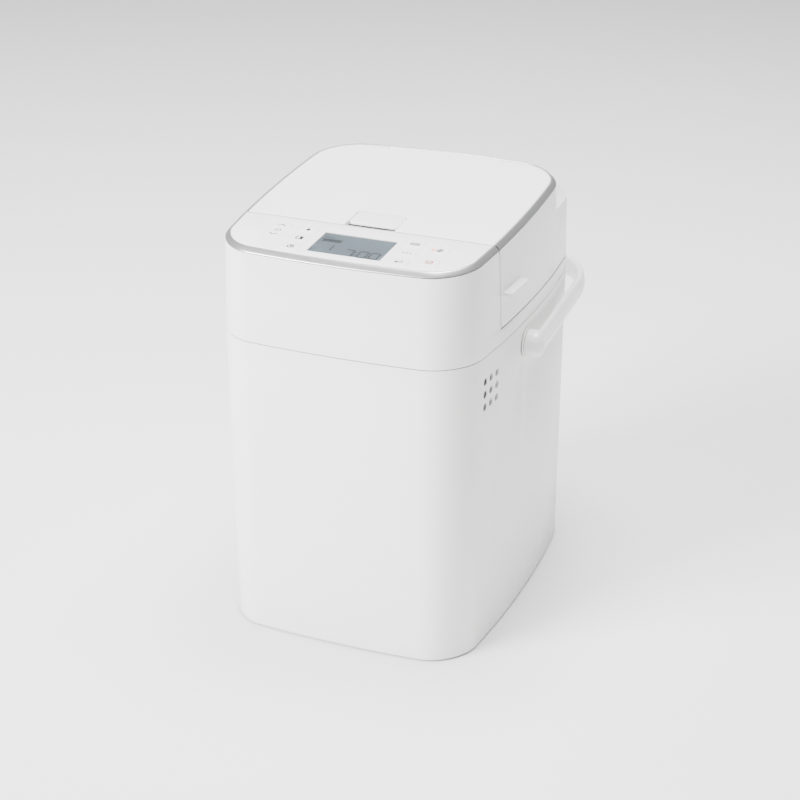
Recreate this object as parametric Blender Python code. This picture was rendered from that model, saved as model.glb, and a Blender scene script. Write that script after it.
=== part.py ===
"""A compact one-loaf bread machine as an assembly of separate sub-parts.

Front faces -Y, up is +Z, and the origin is on the floor under the middle of
the whole object. Lengths are written in millimetres and turned into metres
by the helpers, so the model is at its real size.
"""
import bpy
import bmesh
from math import atan2, cos, pi, radians, sin, tan
from mathutils import Matrix, Vector

MM = 0.001

# Outer body, in plan: a rounded rectangle whose four sides bow outwards.
BODY_WIDTH = 220.0
BODY_DEPTH = 282.2
FRONT_CORNER = 34.8
REAR_CORNER = 42.5
SIDE_BOW = 9.4
END_BOW = 5.9
WALL = 2.4
GAP = 0.3
HALF_W = BODY_WIDTH / 2
HALF_D = BODY_DEPTH / 2

# Heights.
SHELL_BOTTOM = 1.5
SEAM_Z = 249.7
DECK_TOP = 261.4
DECK_THICKNESS = 3.0
LID_BOTTOM = 262.2
SHOULDER_Z = 313.0
RIM_FRONT_Z = 319.8
RIM_SLOPE = tan(radians(3.736))
RIM_MEAN_Z = 325.0
TRIM_HEIGHT = 4.0
LOWER_DRAFT = tan(radians(0.175))
UPPER_DRAFT = tan(radians(1.6))

# The lid meets the control housing on a plane that leans back as it goes down.
LID_LINE_TOP = -72.1
LID_LINE_LEAN = 2.4
LID_LINE_GAP = 0.4
RAISED_REAR = 102.8
RAISED_CORNER = 38.0
RAISED_BOW = 11.0

# The flat tops sit inside the trim.
PLATE_INSET = 5.0
PANEL_BOTTOM = 2.4
COVER_BOTTOM = 0.5

# Oven, pan and drive share one vertical axis.
OVEN_Y = 28.0
LINER_X = 81.0
LINER_Y = 85.0
LINER_CORNER = 22.0
LINER_BOTTOM = 60.8
PAN_RIM_Z = 190.0
PAN_FLOOR_Z = 84.0
BAIL_LEAN = 13.0
PULLEY_RADIUS = 42.0
MOTOR_PULLEY_RADIUS = 9.0
MOTOR_Y = -98.0

# Carrying handle, a bail that lies back behind the body.
HANDLE_PIVOT_Y = -17.4
HANDLE_PIVOT_Z = 231.0
HANDLE_REACH = 194.4
HANDLE_ARM_X = 121.4
HANDLE_SPLAY = 12.0
HANDLE_CORNER = 73.0
HANDLE_HALF_THICK = 3.6
HANDLE_HALF_TALL = 9.5

# The whole object's middle is behind the body's, because of the handle.
SHIFT_Y = -(HANDLE_PIVOT_Y + HANDLE_REACH + HANDLE_HALF_THICK - HALF_D) / 2

# Hinges.
LID_AXIS_Y = 145.5
LID_AXIS_Z = 262.0
COVER_AXIS_Y = 91.5
COVER_AXIS_RISE = 2.1
COVER_LUG_X = 40.0
# only the stretch between its shoulders reaches behind the cover's axis, where the trim leaves room for the swing
COVER_TAIL_X = 49.4
COVER_SHOULDER = 3.2
COVER_SHOULDER_GAP = 0.8
FLAP_AXIS = (51.0, 288.2)
LATCH_AXIS_Y = -45.2
LATCH_AXIS_RISE = 3.0

ARC_STEPS = 5
MIDDLE_STATIONS = (0.2, 0.6)
FRONT_POINTS = len(MIDDLE_STATIONS) + ARC_STEPS + 1
SIDE_STATIONS = (-60.0, -22.0, 16.0, 54.0)

KEY_SIZE = (15.0, 11.0)
KEYS = {
    "key_up": (-63.3, -88.5),
    "key_down": (-63.3, -105.2),
    "key_yeast": (-40.7, -89.6),
    "key_crust": (-40.7, -106.0),
    "key_timer": (-40.7, -122.3),
    "key_menu": (45.4, -89.6),
    "key_mix": (45.4, -106.0),
    "key_enter": (45.4, -122.3),
    "key_start": (67.0, -94.6),
    "key_stop": (67.0, -116.4),
}
LED_AT = (61.9, -94.6)
LCD_AT = (2.75, -107.3)
LCD_SIZE = (58.5, 36.4)


def clear_scene():
    for old in list(bpy.data.objects):
        bpy.data.objects.remove(old, do_unlink=True)


def finish(name, colour, roughness, metallic=0.0, alpha=1.0):
    material = bpy.data.materials.new(name)
    material.use_nodes = True
    shader = material.node_tree.nodes["Principled BSDF"]
    shader.inputs["Base Color"].default_value = (*colour, 1.0)
    shader.inputs["Roughness"].default_value = roughness
    shader.inputs["Metallic"].default_value = metallic
    shader.inputs["Alpha"].default_value = alpha
    return material


def make_finishes():
    return {
        "white": finish("white_plastic", (0.80, 0.80, 0.79), 0.28),
        "panel": finish("panel_white", (0.84, 0.84, 0.83), 0.42),
        "silver": finish("satin_silver", (0.50, 0.50, 0.50), 0.32, 0.8),
        "grey": finish("grey_plastic", (0.28, 0.29, 0.30), 0.5),
        "dark": finish("dark_plastic", (0.06, 0.06, 0.065), 0.55),
        "clear": finish("clear_plastic", (0.85, 0.88, 0.90), 0.08, 0.0, 0.35),
        "lcd": finish("lcd_grey", (0.30, 0.36, 0.40), 0.35),
        "red": finish("red_lens", (0.75, 0.16, 0.16), 0.3),
        "steel": finish("bright_steel", (0.62, 0.62, 0.63), 0.3, 1.0),
        "aluminium": finish("aluminium", (0.72, 0.72, 0.73), 0.38, 1.0),
        "coated": finish("dark_coating", (0.09, 0.09, 0.10), 0.42, 0.3),
        "brass": finish("brass", (0.72, 0.55, 0.25), 0.35, 1.0),
        "rubber": finish("rubber", (0.035, 0.035, 0.035), 0.8),
        "silicone": finish("silicone", (0.55, 0.55, 0.55), 0.6),
        "board": finish("circuit_board", (0.03, 0.20, 0.09), 0.45),
    }


def rim_z(y, rise=0.0):
    """Height of the sloping top at a depth, rise above the trim's lower edge."""
    return RIM_FRONT_Z + RIM_SLOPE * (y + HALF_D) + rise


def lid_line(z):
    lean = (rim_z(LID_LINE_TOP) - z) / (rim_z(LID_LINE_TOP) - LID_BOTTOM)
    return LID_LINE_TOP + LID_LINE_LEAN * lean


def draft(z):
    if z < SEAM_Z:
        return LOWER_DRAFT * (SEAM_Z - z)
    return UPPER_DRAFT * (z - SEAM_Z)


def bowed(x, y, bow=END_BOW, reach=HALF_D):
    side = 1 - SIDE_BOW / HALF_W * (y / HALF_D) ** 2
    return x * side, y - bow * y / reach * (x / HALF_W) ** 2


def side_x(y, inset=0.0):
    return (HALF_W - inset) * (1 - SIDE_BOW / HALF_W * (y / HALF_D) ** 2)


def half_plan(inset, front, rear, line):
    """Right half of a plan outline, from the front middle to the rear middle.

    front is body or lid, and rear is body, raised or line; line is the depth
    of the straight front or rear edge where one is asked for.
    """
    points = []
    if front == "body":
        r = FRONT_CORNER - inset
        cx, cy = HALF_W - FRONT_CORNER, -HALF_D + FRONT_CORNER
        points += [bowed(cx * part, cy - r) for part in MIDDLE_STATIONS]
        for i in range(ARC_STEPS + 1):
            a = -pi / 2 + pi / 2 * i / ARC_STEPS
            points.append(bowed(cx + r * cos(a), cy + r * sin(a)))
    else:
        r = 1.2
        cx, cy = side_x(line, inset) - r, line + r
        points += [(cx * part, line) for part in MIDDLE_STATIONS]
        for i in range(ARC_STEPS + 1):
            a = -pi / 2 + pi / 2 * i / ARC_STEPS
            points.append((cx + r * cos(a), cy + r * sin(a)))
    if rear == "line":
        corner = (side_x(line, inset), line)
        points += [corner] * (len(SIDE_STATIONS) + ARC_STEPS + 1)
        points += [(corner[0] * part, line) for part in reversed(MIDDLE_STATIONS)]
        return points
    for y in SIDE_STATIONS:
        points.append((side_x(y, inset), y))
    if rear == "body":
        corner, reach, bow = REAR_CORNER, HALF_D, END_BOW
    else:
        corner, reach, bow = RAISED_CORNER, RAISED_REAR, RAISED_BOW
    r = corner - inset
    cx, cy = HALF_W - corner, reach - corner
    for i in range(ARC_STEPS + 1):
        a = pi / 2 * i / ARC_STEPS
        points.append(bowed(cx + r * cos(a), cy + r * sin(a), bow, reach))
    points += [bowed(cx * part, cy + r, bow, reach) for part in reversed(MIDDLE_STATIONS)]
    return points


def ring(inset, height, front="body", rear="body", line=0.0):
    """A closed outline at a height, which is a number or a function of depth."""
    half = half_plan(inset, front, rear, line)
    plan = [(x, y) for x, y in half] + [(-x, y) for x, y in reversed(half)]
    return [(x, y, height(y) if callable(height) else height) for x, y in plan]


def rounded_ring(cx, cy, z, half_x, half_y, radius, steps=4):
    points = []
    corners = ((1, -1, -90), (1, 1, 0), (-1, 1, 90), (-1, -1, 180))
    for sx, sy, start in corners:
        for i in range(steps + 1):
            a = radians(start + 90 * i / steps)
            x = cx + sx * (half_x - radius) + radius * cos(a)
            y = cy + sy * (half_y - radius) + radius * sin(a)
            points.append((x, y, z))
    return points


def to_object(name, bm, material, smooth_angle=35.0):
    mesh = bpy.data.meshes.new(name)
    bmesh.ops.recalc_face_normals(bm, faces=bm.faces[:])
    for face in bm.faces:
        face.smooth = True
    bm.to_mesh(mesh)
    bm.free()
    mesh.set_sharp_from_angle(angle=radians(smooth_angle))
    if material:
        mesh.materials.append(material)
    obj = bpy.data.objects.new(name, mesh)
    bpy.context.scene.collection.objects.link(obj)
    obj.parent = machine
    return obj


def loft_mesh(rings, closed=False):
    """Skin a list of outlines, capped at both ends or closed on itself."""
    bm = bmesh.new()
    rows = [[bm.verts.new(Vector(p) * MM) for p in points] for points in rings]
    count = len(rows[0])
    pairs = list(zip(rows, rows[1:] + rows[:1])) if closed else list(zip(rows, rows[1:]))
    for low, high in pairs:
        for i in range(count):
            j = (i + 1) % count
            bm.faces.new((low[i], low[j], high[j], high[i]))
    if not closed:
        bm.faces.new(rows[0])
        bm.faces.new(rows[-1])
    bmesh.ops.remove_doubles(bm, verts=bm.verts[:], dist=0.00002)
    bmesh.ops.dissolve_degenerate(bm, edges=bm.edges[:], dist=0.00001)
    return bm


def loft(name, rings, material, closed=False):
    return to_object(name, loft_mesh(rings, closed), material)


def block_mesh(low, high):
    bm = bmesh.new()
    bmesh.ops.create_cube(bm, size=1.0)
    size = Vector(high) - Vector(low)
    middle = (Vector(high) + Vector(low)) / 2
    for v in bm.verts:
        v.co = Vector([middle[i] + v.co[i] * size[i] for i in range(3)]) * MM
    return bm


def block(name, low, high, material):
    return to_object(name, block_mesh(low, high), material)


def turn_to(axis):
    """Rotation that takes +Z onto an axis given by its letter."""
    if axis == "X":
        return Matrix.Rotation(pi / 2, 4, "Y")
    if axis == "Y":
        return Matrix.Rotation(-pi / 2, 4, "X")
    return Matrix.Identity(4)


def turned(name, profile, centre, axis, material, steps=24, hole=0.0):
    """A turned piece: profile is (radius, height) along the axis from centre.

    With a hole the profile is the outside and the bore runs right through.
    """
    rings = []
    for radius, height in profile:
        rings.append([(radius * cos(2 * pi * i / steps), radius * sin(2 * pi * i / steps), height)
                      for i in range(steps)])
    if hole:
        ends = (profile[-1][1], profile[0][1])
        for height in ends:
            rings.append([(hole * cos(2 * pi * i / steps), hole * sin(2 * pi * i / steps), height)
                          for i in range(steps)])
    bm = loft_mesh(rings, closed=bool(hole))
    bmesh.ops.transform(bm, matrix=turn_to(axis), verts=bm.verts[:])
    bmesh.ops.translate(bm, vec=Vector(centre) * MM, verts=bm.verts[:])
    return to_object(name, bm, material)


def rod(name, radius, start, length, axis, material, steps=24):
    return turned(name, [(radius, 0.0), (radius, length)], start, axis, material, steps)


def tube(name, points, radius, material, sides=2):
    """A round bar along a list of points, as a bevelled curve with filled ends."""
    curve = bpy.data.curves.new(name, "CURVE")
    curve.dimensions = "3D"
    curve.bevel_depth = radius * MM
    curve.bevel_resolution = sides
    curve.use_fill_caps = True
    spline = curve.splines.new("POLY")
    spline.points.add(len(points) - 1)
    for point, place in zip(spline.points, points):
        point.co = (*(Vector(place) * MM), 1.0)
    curve.materials.append(material)
    obj = bpy.data.objects.new(name, curve)
    bpy.context.scene.collection.objects.link(obj)
    obj.parent = machine
    return obj


def combine(obj, tool, operation):
    """Add a Boolean that keeps its tool hidden."""
    tool.hide_render = True
    tool.display_type = "WIRE"
    modifier = obj.modifiers.new(operation.lower(), "BOOLEAN")
    modifier.operation = operation
    modifier.solver = "EXACT"
    modifier.object = tool
    return obj


def cut(obj, tool):
    return combine(obj, tool, "DIFFERENCE")


def join(obj, tool):
    return combine(obj, tool, "UNION")


def many(name, meshes):
    """One hidden tool out of several meshes that stand clear of each other."""
    joined = bmesh.new()
    for bm in meshes:
        part = bpy.data.meshes.new(name)
        bmesh.ops.recalc_face_normals(bm, faces=bm.faces[:])
        bm.to_mesh(part)
        bm.free()
        joined.from_mesh(part)
        bpy.data.meshes.remove(part)
    return to_object(name, joined, None)


def rod_mesh(radius, start, length, axis, steps=16):
    rings = []
    for height in (0.0, length):
        rings.append([(radius * cos(2 * pi * i / steps), radius * sin(2 * pi * i / steps), height)
                      for i in range(steps)])
    bm = loft_mesh(rings)
    bmesh.ops.transform(bm, matrix=turn_to(axis), verts=bm.verts[:])
    bmesh.ops.translate(bm, vec=Vector(start) * MM, verts=bm.verts[:])
    return bm


def set_origin(obj, place):
    """Move an object's origin onto its joint axis without moving its shape."""
    shift = Vector(place) * MM
    obj.data.transform(Matrix.Translation(-shift))
    obj.location = shift
    return obj


# ---- Housing ---------------------------------------------------------------

def make_body_shell(mat):
    top = SEAM_Z - GAP
    rings = [ring(draft(SHELL_BOTTOM), SHELL_BOTTOM), ring(0.0, top),
             ring(WALL, top), ring(WALL + draft(SHELL_BOTTOM), SHELL_BOTTOM)]
    shell = loft("body_shell", rings, mat["white"], closed=True)
    vents = [rod_mesh(3.2, (100.0, -85.9 + 10.4 * i, 218.6 + 10.4 * j), 20.0, "X", 12)
             for i in (-1, 0, 1) for j in (-1, 0, 1)]
    cut(shell, many("vent_drill", vents))
    pivots = [rod_mesh(4.4, (s * 95.0, HANDLE_PIVOT_Y, HANDLE_PIVOT_Z), s * 30.0, "X")
              for s in (-1, 1)]
    cut(shell, many("pivot_drill", pivots))
    cut(shell, many("gland_drill", [rod_mesh(7.4, (55.0, 120.0, 34.0), 40.0, "Y")]))
    return shell


def make_base_plate(mat):
    inset = WALL + 0.5 + draft(SHELL_BOTTOM)
    plate = loft("base_plate", [ring(inset, 3.0), ring(inset, 6.0)], mat["grey"])
    slots = [block_mesh((-36.0, y - 2.5, 1.0), (36.0, y + 2.5, 9.0))
             for y in (-60.0, -48.0, -36.0, 60.0, 72.0, 84.0)]
    cut(plate, many("base_slots", slots))
    pegs = [rod_mesh(3.3, (x, y, 0.0), 10.0, "Z") for x, y in foot_places()]
    cut(plate, many("foot_drill", pegs))
    return plate


def foot_places():
    return [(sx * 78.0, y) for sx in (-1, 1) for y in (-104.0, 104.0)]


def make_feet(mat):
    names = ("foot_left_front", "foot_left_rear", "foot_right_front", "foot_right_rear")
    profile = [(8.0, 0.0), (8.6, 0.8), (8.6, 2.7), (3.0, 2.7), (3.0, 7.2)]
    for name, (x, y) in zip(names, foot_places()):
        turned(name, profile, (x, y, 0.0), "Z", mat["rubber"], 20)


def make_cord_gland(mat):
    """A bush in the rear wall where the mains lead would come out."""
    y = HALF_D - 4.5
    profile = [(7.0, -6.0), (7.0, 3.6), (9.5, 3.6), (8.6, 7.0)]
    turned("cord_gland", profile, (55.0, y - 0.6, 34.0), "Y", mat["grey"], 20, hole=3.6)


def make_upper_housing(mat):
    low = SEAM_Z + GAP
    under = DECK_TOP - DECK_THICKNESS
    back = LID_LINE_TOP - LID_LINE_GAP
    base_back = lid_line(DECK_TOP) - LID_LINE_GAP
    rim_draft = draft(RIM_MEAN_Z)
    inner_back = base_back - WALL
    rings = [
        ring(WALL + rim_draft, lambda y: rim_z(y, -WALL), rear="line", line=back - WALL),
        ring(WALL + draft(under), under, rear="line", line=inner_back),
        ring(WALL + draft(under), under),
        ring(WALL, low),
        ring(0.0, low),
        ring(draft(DECK_TOP), DECK_TOP),
        ring(draft(DECK_TOP), DECK_TOP, rear="line", line=base_back),
        ring(rim_draft, rim_z, rear="line", line=back),
    ]
    housing = loft("upper_housing", rings, mat["white"])
    mouth = [rounded_ring(0, OVEN_Y, z, LINER_X - 2.0, LINER_Y - 2.0, LINER_CORNER)
             for z in (DECK_TOP - 6.0, DECK_TOP + 3.0)]
    cut(housing, loft("mouth_cutter", mouth, None))
    windows = [
        block_mesh((LCD_AT[0] - 32.0, LCD_AT[1] - 20.5, 300.0), (LCD_AT[0] + 32.0, LCD_AT[1] + 20.5, 335.0)),
        block_mesh((-74.0, -130.0, 300.0), (-32.0, -81.0, 335.0)),
        block_mesh((37.0, -130.0, 300.0), (77.0, -81.0, 335.0)),
    ]
    cut(housing, many("deck_windows", windows))
    for sx in (-1, 1):
        for x in (31.0, 53.0):
            name = f"housing_knuckle_{sx}_{x:.0f}"
            join(housing, knuckle(name, sx * x, 3.8, "down"))
    bore = [rod_mesh(1.9, (sx * 42.0 - 20.0, LID_AXIS_Y, LID_AXIS_Z), 40.0, "X", 12) for sx in (-1, 1)]
    cut(housing, many("housing_pin_drill", bore))
    return housing


def knuckle(name, x, half, side):
    """One hinge barrel with the web that ties it to the rear wall."""
    steps = 12
    radius = 4.2
    outline = []
    wall_y = HALF_D - 3.4
    if side == "down":
        angles = [radians(-60 + 240 * i / steps) for i in range(steps + 1)]
        tail = [(wall_y, LID_AXIS_Z - 0.9), (wall_y, LID_AXIS_Z - 10.0)]
    else:
        angles = [radians(-180 + 240 * i / steps) for i in range(steps + 1)]
        tail = [(wall_y, LID_AXIS_Z + 12.0), (wall_y, LID_AXIS_Z + 0.9)]
    for a in angles:
        outline.append((LID_AXIS_Y + radius * cos(a), LID_AXIS_Z + radius * sin(a)))
    outline += tail
    rings = [[(x + s * half, y, z) for y, z in outline] for s in (-1, 1)]
    return loft(name, rings, None)


# ---- Controls --------------------------------------------------------------

def make_front_trim(mat):
    inset = draft(RIM_MEAN_Z)
    line = LID_LINE_TOP - LID_LINE_GAP
    rails = []
    for extra, rise in trim_steps():
        half = half_plan(inset + extra, "body", "line", line)[:FRONT_POINTS]
        half.append((side_x(line, inset + extra), line))
        path = [(-x, y) for x, y in reversed(half)] + half
        rails.append([(x, y, rim_z(y, rise)) for x, y in path])
    sections = [[rail[i] for rail in rails] for i in range(len(rails[0]))]
    return loft("front_trim", sections, mat["silver"])


def trim_steps():
    """The trim's section as (inset, rise) corners, a sloping face outwards."""
    top = TRIM_HEIGHT
    return ((0.2, 0.3), (0.2, 0.8), (top - 0.4, top), (top + 0.5, top), (top + 0.5, 0.3))


def make_lid_trim(mat):
    inset = draft(RIM_MEAN_Z)
    line = LID_LINE_TOP + LID_LINE_GAP
    rails = []
    for extra, rise in trim_steps():
        half = half_plan(inset + extra, "body", "raised", 0.0)[FRONT_POINTS:]
        half.insert(0, (side_x(line, inset + extra), line))
        path = half + [(-x, y) for x, y in reversed(half)]
        rails.append([(x, y, rim_z(y, rise)) for x, y in path])
    sections = [[rail[i] for rail in rails] for i in range(len(rails[0]))]
    return loft("lid_trim", sections, mat["silver"])


def sloped_pad(name, at, size, low, high, radius, material, steps=3):
    """A rounded pad that follows the panel's slope, between two rises."""
    rings = []
    for rise in (low, high):
        flat = rounded_ring(at[0], at[1], 0.0, size[0] / 2, size[1] / 2, radius, steps)
        rings.append([(x, y, rim_z(y, rise)) for x, y, _ in flat])
    return loft(name, rings, material)


def make_control_panel(mat):
    inset = draft(RIM_MEAN_Z) + PLATE_INSET
    line = LID_LINE_TOP - LID_LINE_GAP
    rings = [ring(inset, lambda y, r=rise: rim_z(y, r), rear="line", line=line)
             for rise in (PANEL_BOTTOM, TRIM_HEIGHT)]
    panel = loft("control_panel", rings, mat["panel"])
    holes = [pad_mesh(LCD_AT, LCD_SIZE, 1.0, -2.0, 8.0)]
    for at in KEYS.values():
        holes.append(pad_mesh(at, (KEY_SIZE[0] + 0.6, KEY_SIZE[1] + 0.6), 2.3, -2.0, 8.0))
    cut(panel, many("panel_holes", holes))
    return panel


def pad_mesh(at, size, radius, low, high):
    rings = []
    for rise in (low, high):
        flat = rounded_ring(at[0], at[1], 0.0, size[0] / 2, size[1] / 2, radius, 3)
        rings.append([(x, y, rim_z(y, rise)) for x, y, _ in flat])
    return loft_mesh(rings)


def make_keys(mat):
    for name, at in KEYS.items():
        key = sloped_pad(name, at, KEY_SIZE, 0.9, TRIM_HEIGHT + 0.25, 2.0, mat["panel"])
        if name == "key_start":
            drill = rod_mesh(1.3, (*LED_AT, rim_z(LED_AT[1], -3.0)), 12.0, "Z", 12)
            cut(key, many("led_drill", [drill]))
        set_origin(key, (*at, rim_z(at[1], TRIM_HEIGHT)))
    led_z = rim_z(LED_AT[1], -1.5)
    rod("start_led", 1.0, (*LED_AT, led_z), TRIM_HEIGHT + 1.6, "Z", mat["red"], 12)


def make_display(mat):
    size = (LCD_SIZE[0] - 0.6, LCD_SIZE[1] - 0.6)
    sloped_pad("lcd_window", LCD_AT, size, 1.4, TRIM_HEIGHT - 0.9, 0.8, mat["clear"])
    wide = (LCD_SIZE[0] + 3.0, LCD_SIZE[1] + 2.0)
    sloped_pad("lcd_module", LCD_AT, wide, -4.0, 1.0, 0.8, mat["lcd"])


def make_control_board(mat):
    board = sloped_pad("control_board", (3.0, -106.0), (150.0, 50.0), -6.0, -4.4, 2.0, mat["board"])
    for name, at in KEYS.items():
        switch = sloped_pad("switch_" + name, at, (6.0, 6.0), -5.0, -0.4, 0.6, None, 1)
        join(board, switch)
    return board


# ---- Lid -------------------------------------------------------------------

def make_lid_shell(mat):
    rim_draft = draft(RIM_MEAN_Z)
    top_line = LID_LINE_TOP + LID_LINE_GAP
    low_line = lid_line(LID_BOTTOM) + LID_LINE_GAP
    mid_line = lid_line(SHOULDER_Z) + LID_LINE_GAP
    ceiling = SHOULDER_Z - WALL
    rings = [
        ring(WALL + rim_draft, lambda y: rim_z(y, -WALL), "lid", "raised", top_line + WALL),
        ring(WALL + draft(ceiling), ceiling, "lid", "raised", mid_line + WALL),
        ring(WALL + draft(ceiling), ceiling, "lid", "body", mid_line + WALL),
        ring(WALL + draft(LID_BOTTOM), LID_BOTTOM, "lid", "body", low_line + WALL),
        ring(draft(LID_BOTTOM), LID_BOTTOM, "lid", "body", low_line),
        ring(draft(SHOULDER_Z), SHOULDER_Z, "lid", "body", mid_line),
        ring(draft(SHOULDER_Z), SHOULDER_Z, "lid", "raised", mid_line),
        ring(rim_draft, rim_z, "lid", "raised", top_line),
    ]
    shell = loft("lid_shell", rings, mat["white"])
    hole = [rounded_ring(0, 15.0, z, 45.0, 37.0, 6.0) for z in (300.0, 345.0)]
    cut(shell, loft("dispenser_cutter", hole, None))
    cut(shell, make_cover_well())
    slot = block_mesh((-7.0, -67.5, 310.0), (7.0, -57.5, 335.0))
    cut(shell, many("latch_slot", [slot]))
    for sx in (-1, 1):
        join(shell, lift_tab(sx))
        join(shell, knuckle(f"lid_knuckle_{sx}", sx * 42.0, 6.9, "up"))
        join(shell, cover_lug(sx))
    join(shell, cover_ears())
    bore = [rod_mesh(1.9, (sx * 42.0 - 20.0, LID_AXIS_Y, LID_AXIS_Z), 40.0, "X", 12) for sx in (-1, 1)]
    cut(shell, many("lid_pin_drill", bore))
    z = rim_z(COVER_AXIS_Y, COVER_AXIS_RISE)
    lug_bore = [rod_mesh(1.0, (sx * COVER_LUG_X - 8.0, COVER_AXIS_Y, z), 16.0, "X", 12) for sx in (-1, 1)]
    cut(shell, many("lug_drill", lug_bore))
    return shell


def prism_mesh(outline, low, high):
    return loft_mesh([[(x, y, z) for x, y in outline] for z in (low, high)])


def make_cover_well():
    """Openings that take the cover's rear edge as it swings down."""
    front, back = COVER_AXIS_Y - 3.0, 95.5
    inner, outer = COVER_LUG_X + 4.3, COVER_TAIL_X + 0.4
    low, high = 318.0, 345.0
    middle = COVER_LUG_X - 4.3
    wells = [prism_mesh([(-middle, front), (middle, front), (middle, back), (-middle, back)], low, high)]
    for sx in (-1, 1):
        outline = [(sx * inner, front), (sx * outer, front), (sx * outer, back - 0.4), (sx * inner, back)]
        wells.append(prism_mesh(outline, low, high))
    return many("cover_well", wells)


def cover_lug(sx):
    """A small ear that holds one end of the cover's hinge pin."""
    z = rim_z(COVER_AXIS_Y, COVER_AXIS_RISE)
    radius = 1.9
    outline = [(COVER_AXIS_Y + radius * cos(a), z + radius * sin(a))
               for a in [radians(-10 + 200 * i / 8) for i in range(9)]]
    foot = z - COVER_AXIS_RISE - 1.2
    outline += [(COVER_AXIS_Y - radius, foot), (COVER_AXIS_Y + 0.5, foot)]
    rings = [[(sx * COVER_LUG_X + s * 3.5, y, h) for y, h in outline] for s in (-1, 1)]
    return loft(f"cover_lug_{sx}", rings, None)


def cover_ears():
    """Fixed pads that fill the cover's outline behind its shoulders."""
    inset = draft(RIM_MEAN_Z) + PLATE_INSET
    line = LID_LINE_TOP + LID_LINE_GAP
    rings = [ring(inset + pull, lambda y, r=rise: rim_z(y, r), "lid", "raised", line)
             for pull, rise in ((0.0, -1.2), (0.0, TRIM_HEIGHT - 1.0), (1.0, TRIM_HEIGHT))]
    ears = loft("cover_ears", rings, None)
    front = COVER_AXIS_Y - COVER_SHOULDER + COVER_SHOULDER_GAP
    inner = COVER_TAIL_X + 0.4
    keep = [block_mesh((min(sx * inner, sx * 95.0), front, 315.0), (max(sx * inner, sx * 95.0), front + 15.0, 350.0))
            for sx in (-1, 1)]
    return combine(ears, many("ear_bounds", keep), "INTERSECT")


def lift_tab(sx):
    """A finger ledge on the lid's skirt, near its front."""
    front, rear, reach = -66.0, -30.5, 7.0
    plan = []
    for y in (front, rear):
        plan.append((side_x(y, draft(288.0)) - 1.4, y))
    outer = []
    for y, a0 in ((rear - 3.0, 90), (front + 3.0, 0)):
        x = side_x(y, draft(288.0)) + reach - 3.0
        for i in range(4):
            a = radians(a0 - 30 * i)
            outer.append((x + 3.0 * cos(a), y + 3.0 * sin(a)))
    points = plan + outer
    rings = []
    for z, pull in ((286.6, 0.8), (287.4, 0.0), (289.1, 0.0), (289.6, 0.6)):
        level = []
        for x, y in points:
            level.append((sx * (x - pull if x > 106.0 else x), y, z))
        rings.append(level)
    return loft(f"lift_tab_{sx}", rings, None)


def make_top_cover(mat):
    inset = draft(RIM_MEAN_Z) + PLATE_INSET
    line = LID_LINE_TOP + LID_LINE_GAP
    rings = [ring(inset + pull, lambda y, r=rise: rim_z(y, r), "lid", "raised", line + pull)
             for pull, rise in ((0.0, COVER_BOTTOM), (0.0, TRIM_HEIGHT - 1.0), (1.0, TRIM_HEIGHT))]
    cover = loft("top_cover", rings, mat["panel"])
    cut(cover, loft("latch_recess", [
        recess_outline(1.5), recess_outline(8.0)], None))
    cut(cover, many("tooth_slot", [block_mesh((-6.0, -65.4, 315.0), (6.0, -59.4, 340.0))]))
    notches = [block_mesh((sx * COVER_LUG_X - 4.6, COVER_AXIS_Y - 2.8, 325.0),
                          (sx * COVER_LUG_X + 4.6, COVER_AXIS_Y + 12.0, 350.0)) for sx in (-1, 1)]
    notches += [block_mesh((min(sx * COVER_TAIL_X, sx * 95.0), COVER_AXIS_Y - COVER_SHOULDER, 315.0),
                           (max(sx * COVER_TAIL_X, sx * 95.0), COVER_AXIS_Y + 12.0, 350.0)) for sx in (-1, 1)]
    cut(cover, many("hinge_notches", notches))
    z = rim_z(COVER_AXIS_Y, COVER_AXIS_RISE)
    bores = [rod_mesh(1.0, (sx * COVER_LUG_X - 8.6, COVER_AXIS_Y, z), 17.2, "X", 12) for sx in (-1, 1)]
    cut(cover, many("cover_pin_drill", bores))
    return set_origin(cover, (0.0, COVER_AXIS_Y, z))


def recess_outline(rise):
    """The latch's recess, open at the cover's front edge."""
    x0, x1, y1, r = -19.4, 21.6, -42.9, 4.0
    plan = [(x0, -74.0), (x1, -74.0), (x1, y1 - r)]
    for i in range(1, 4):
        a = radians(30 * i)
        plan.append((x1 - r + r * cos(a), y1 - r + r * sin(a)))
    for i in range(0, 4):
        a = radians(90 + 30 * i)
        plan.append((x0 + r + r * cos(a), y1 - r + r * sin(a)))
    return [(x, y, rim_z(y, rise)) for x, y in plan]


def make_latch(mat):
    """A plate hinged at its rear edge, with a tooth under its front lip."""
    x0, x1 = -18.9, 21.1
    rises = ((2.1, 0.4), (2.5, 0.0), (3.8, 0.0), (4.1, 0.5))
    rings = []
    for rise, pull in rises:
        flat = rounded_ring((x0 + x1) / 2, -54.35, 0.0, (x1 - x0) / 2 - pull,
                            10.95 - pull, 3.4 - pull, 3)
        rings.append([(x, y, rim_z(y, rise)) for x, y, _ in flat])
    latch = loft("cover_latch", rings, mat["panel"])
    foot = rim_z(-62.0, -1.6)
    tooth = block("latch_tooth", (-4.0, -63.4, foot), (4.0, -61.4, foot + 4.4), None)
    join(latch, tooth)
    return set_origin(latch, (0.0, LATCH_AXIS_Y, rim_z(LATCH_AXIS_Y, LATCH_AXIS_RISE)))


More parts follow.
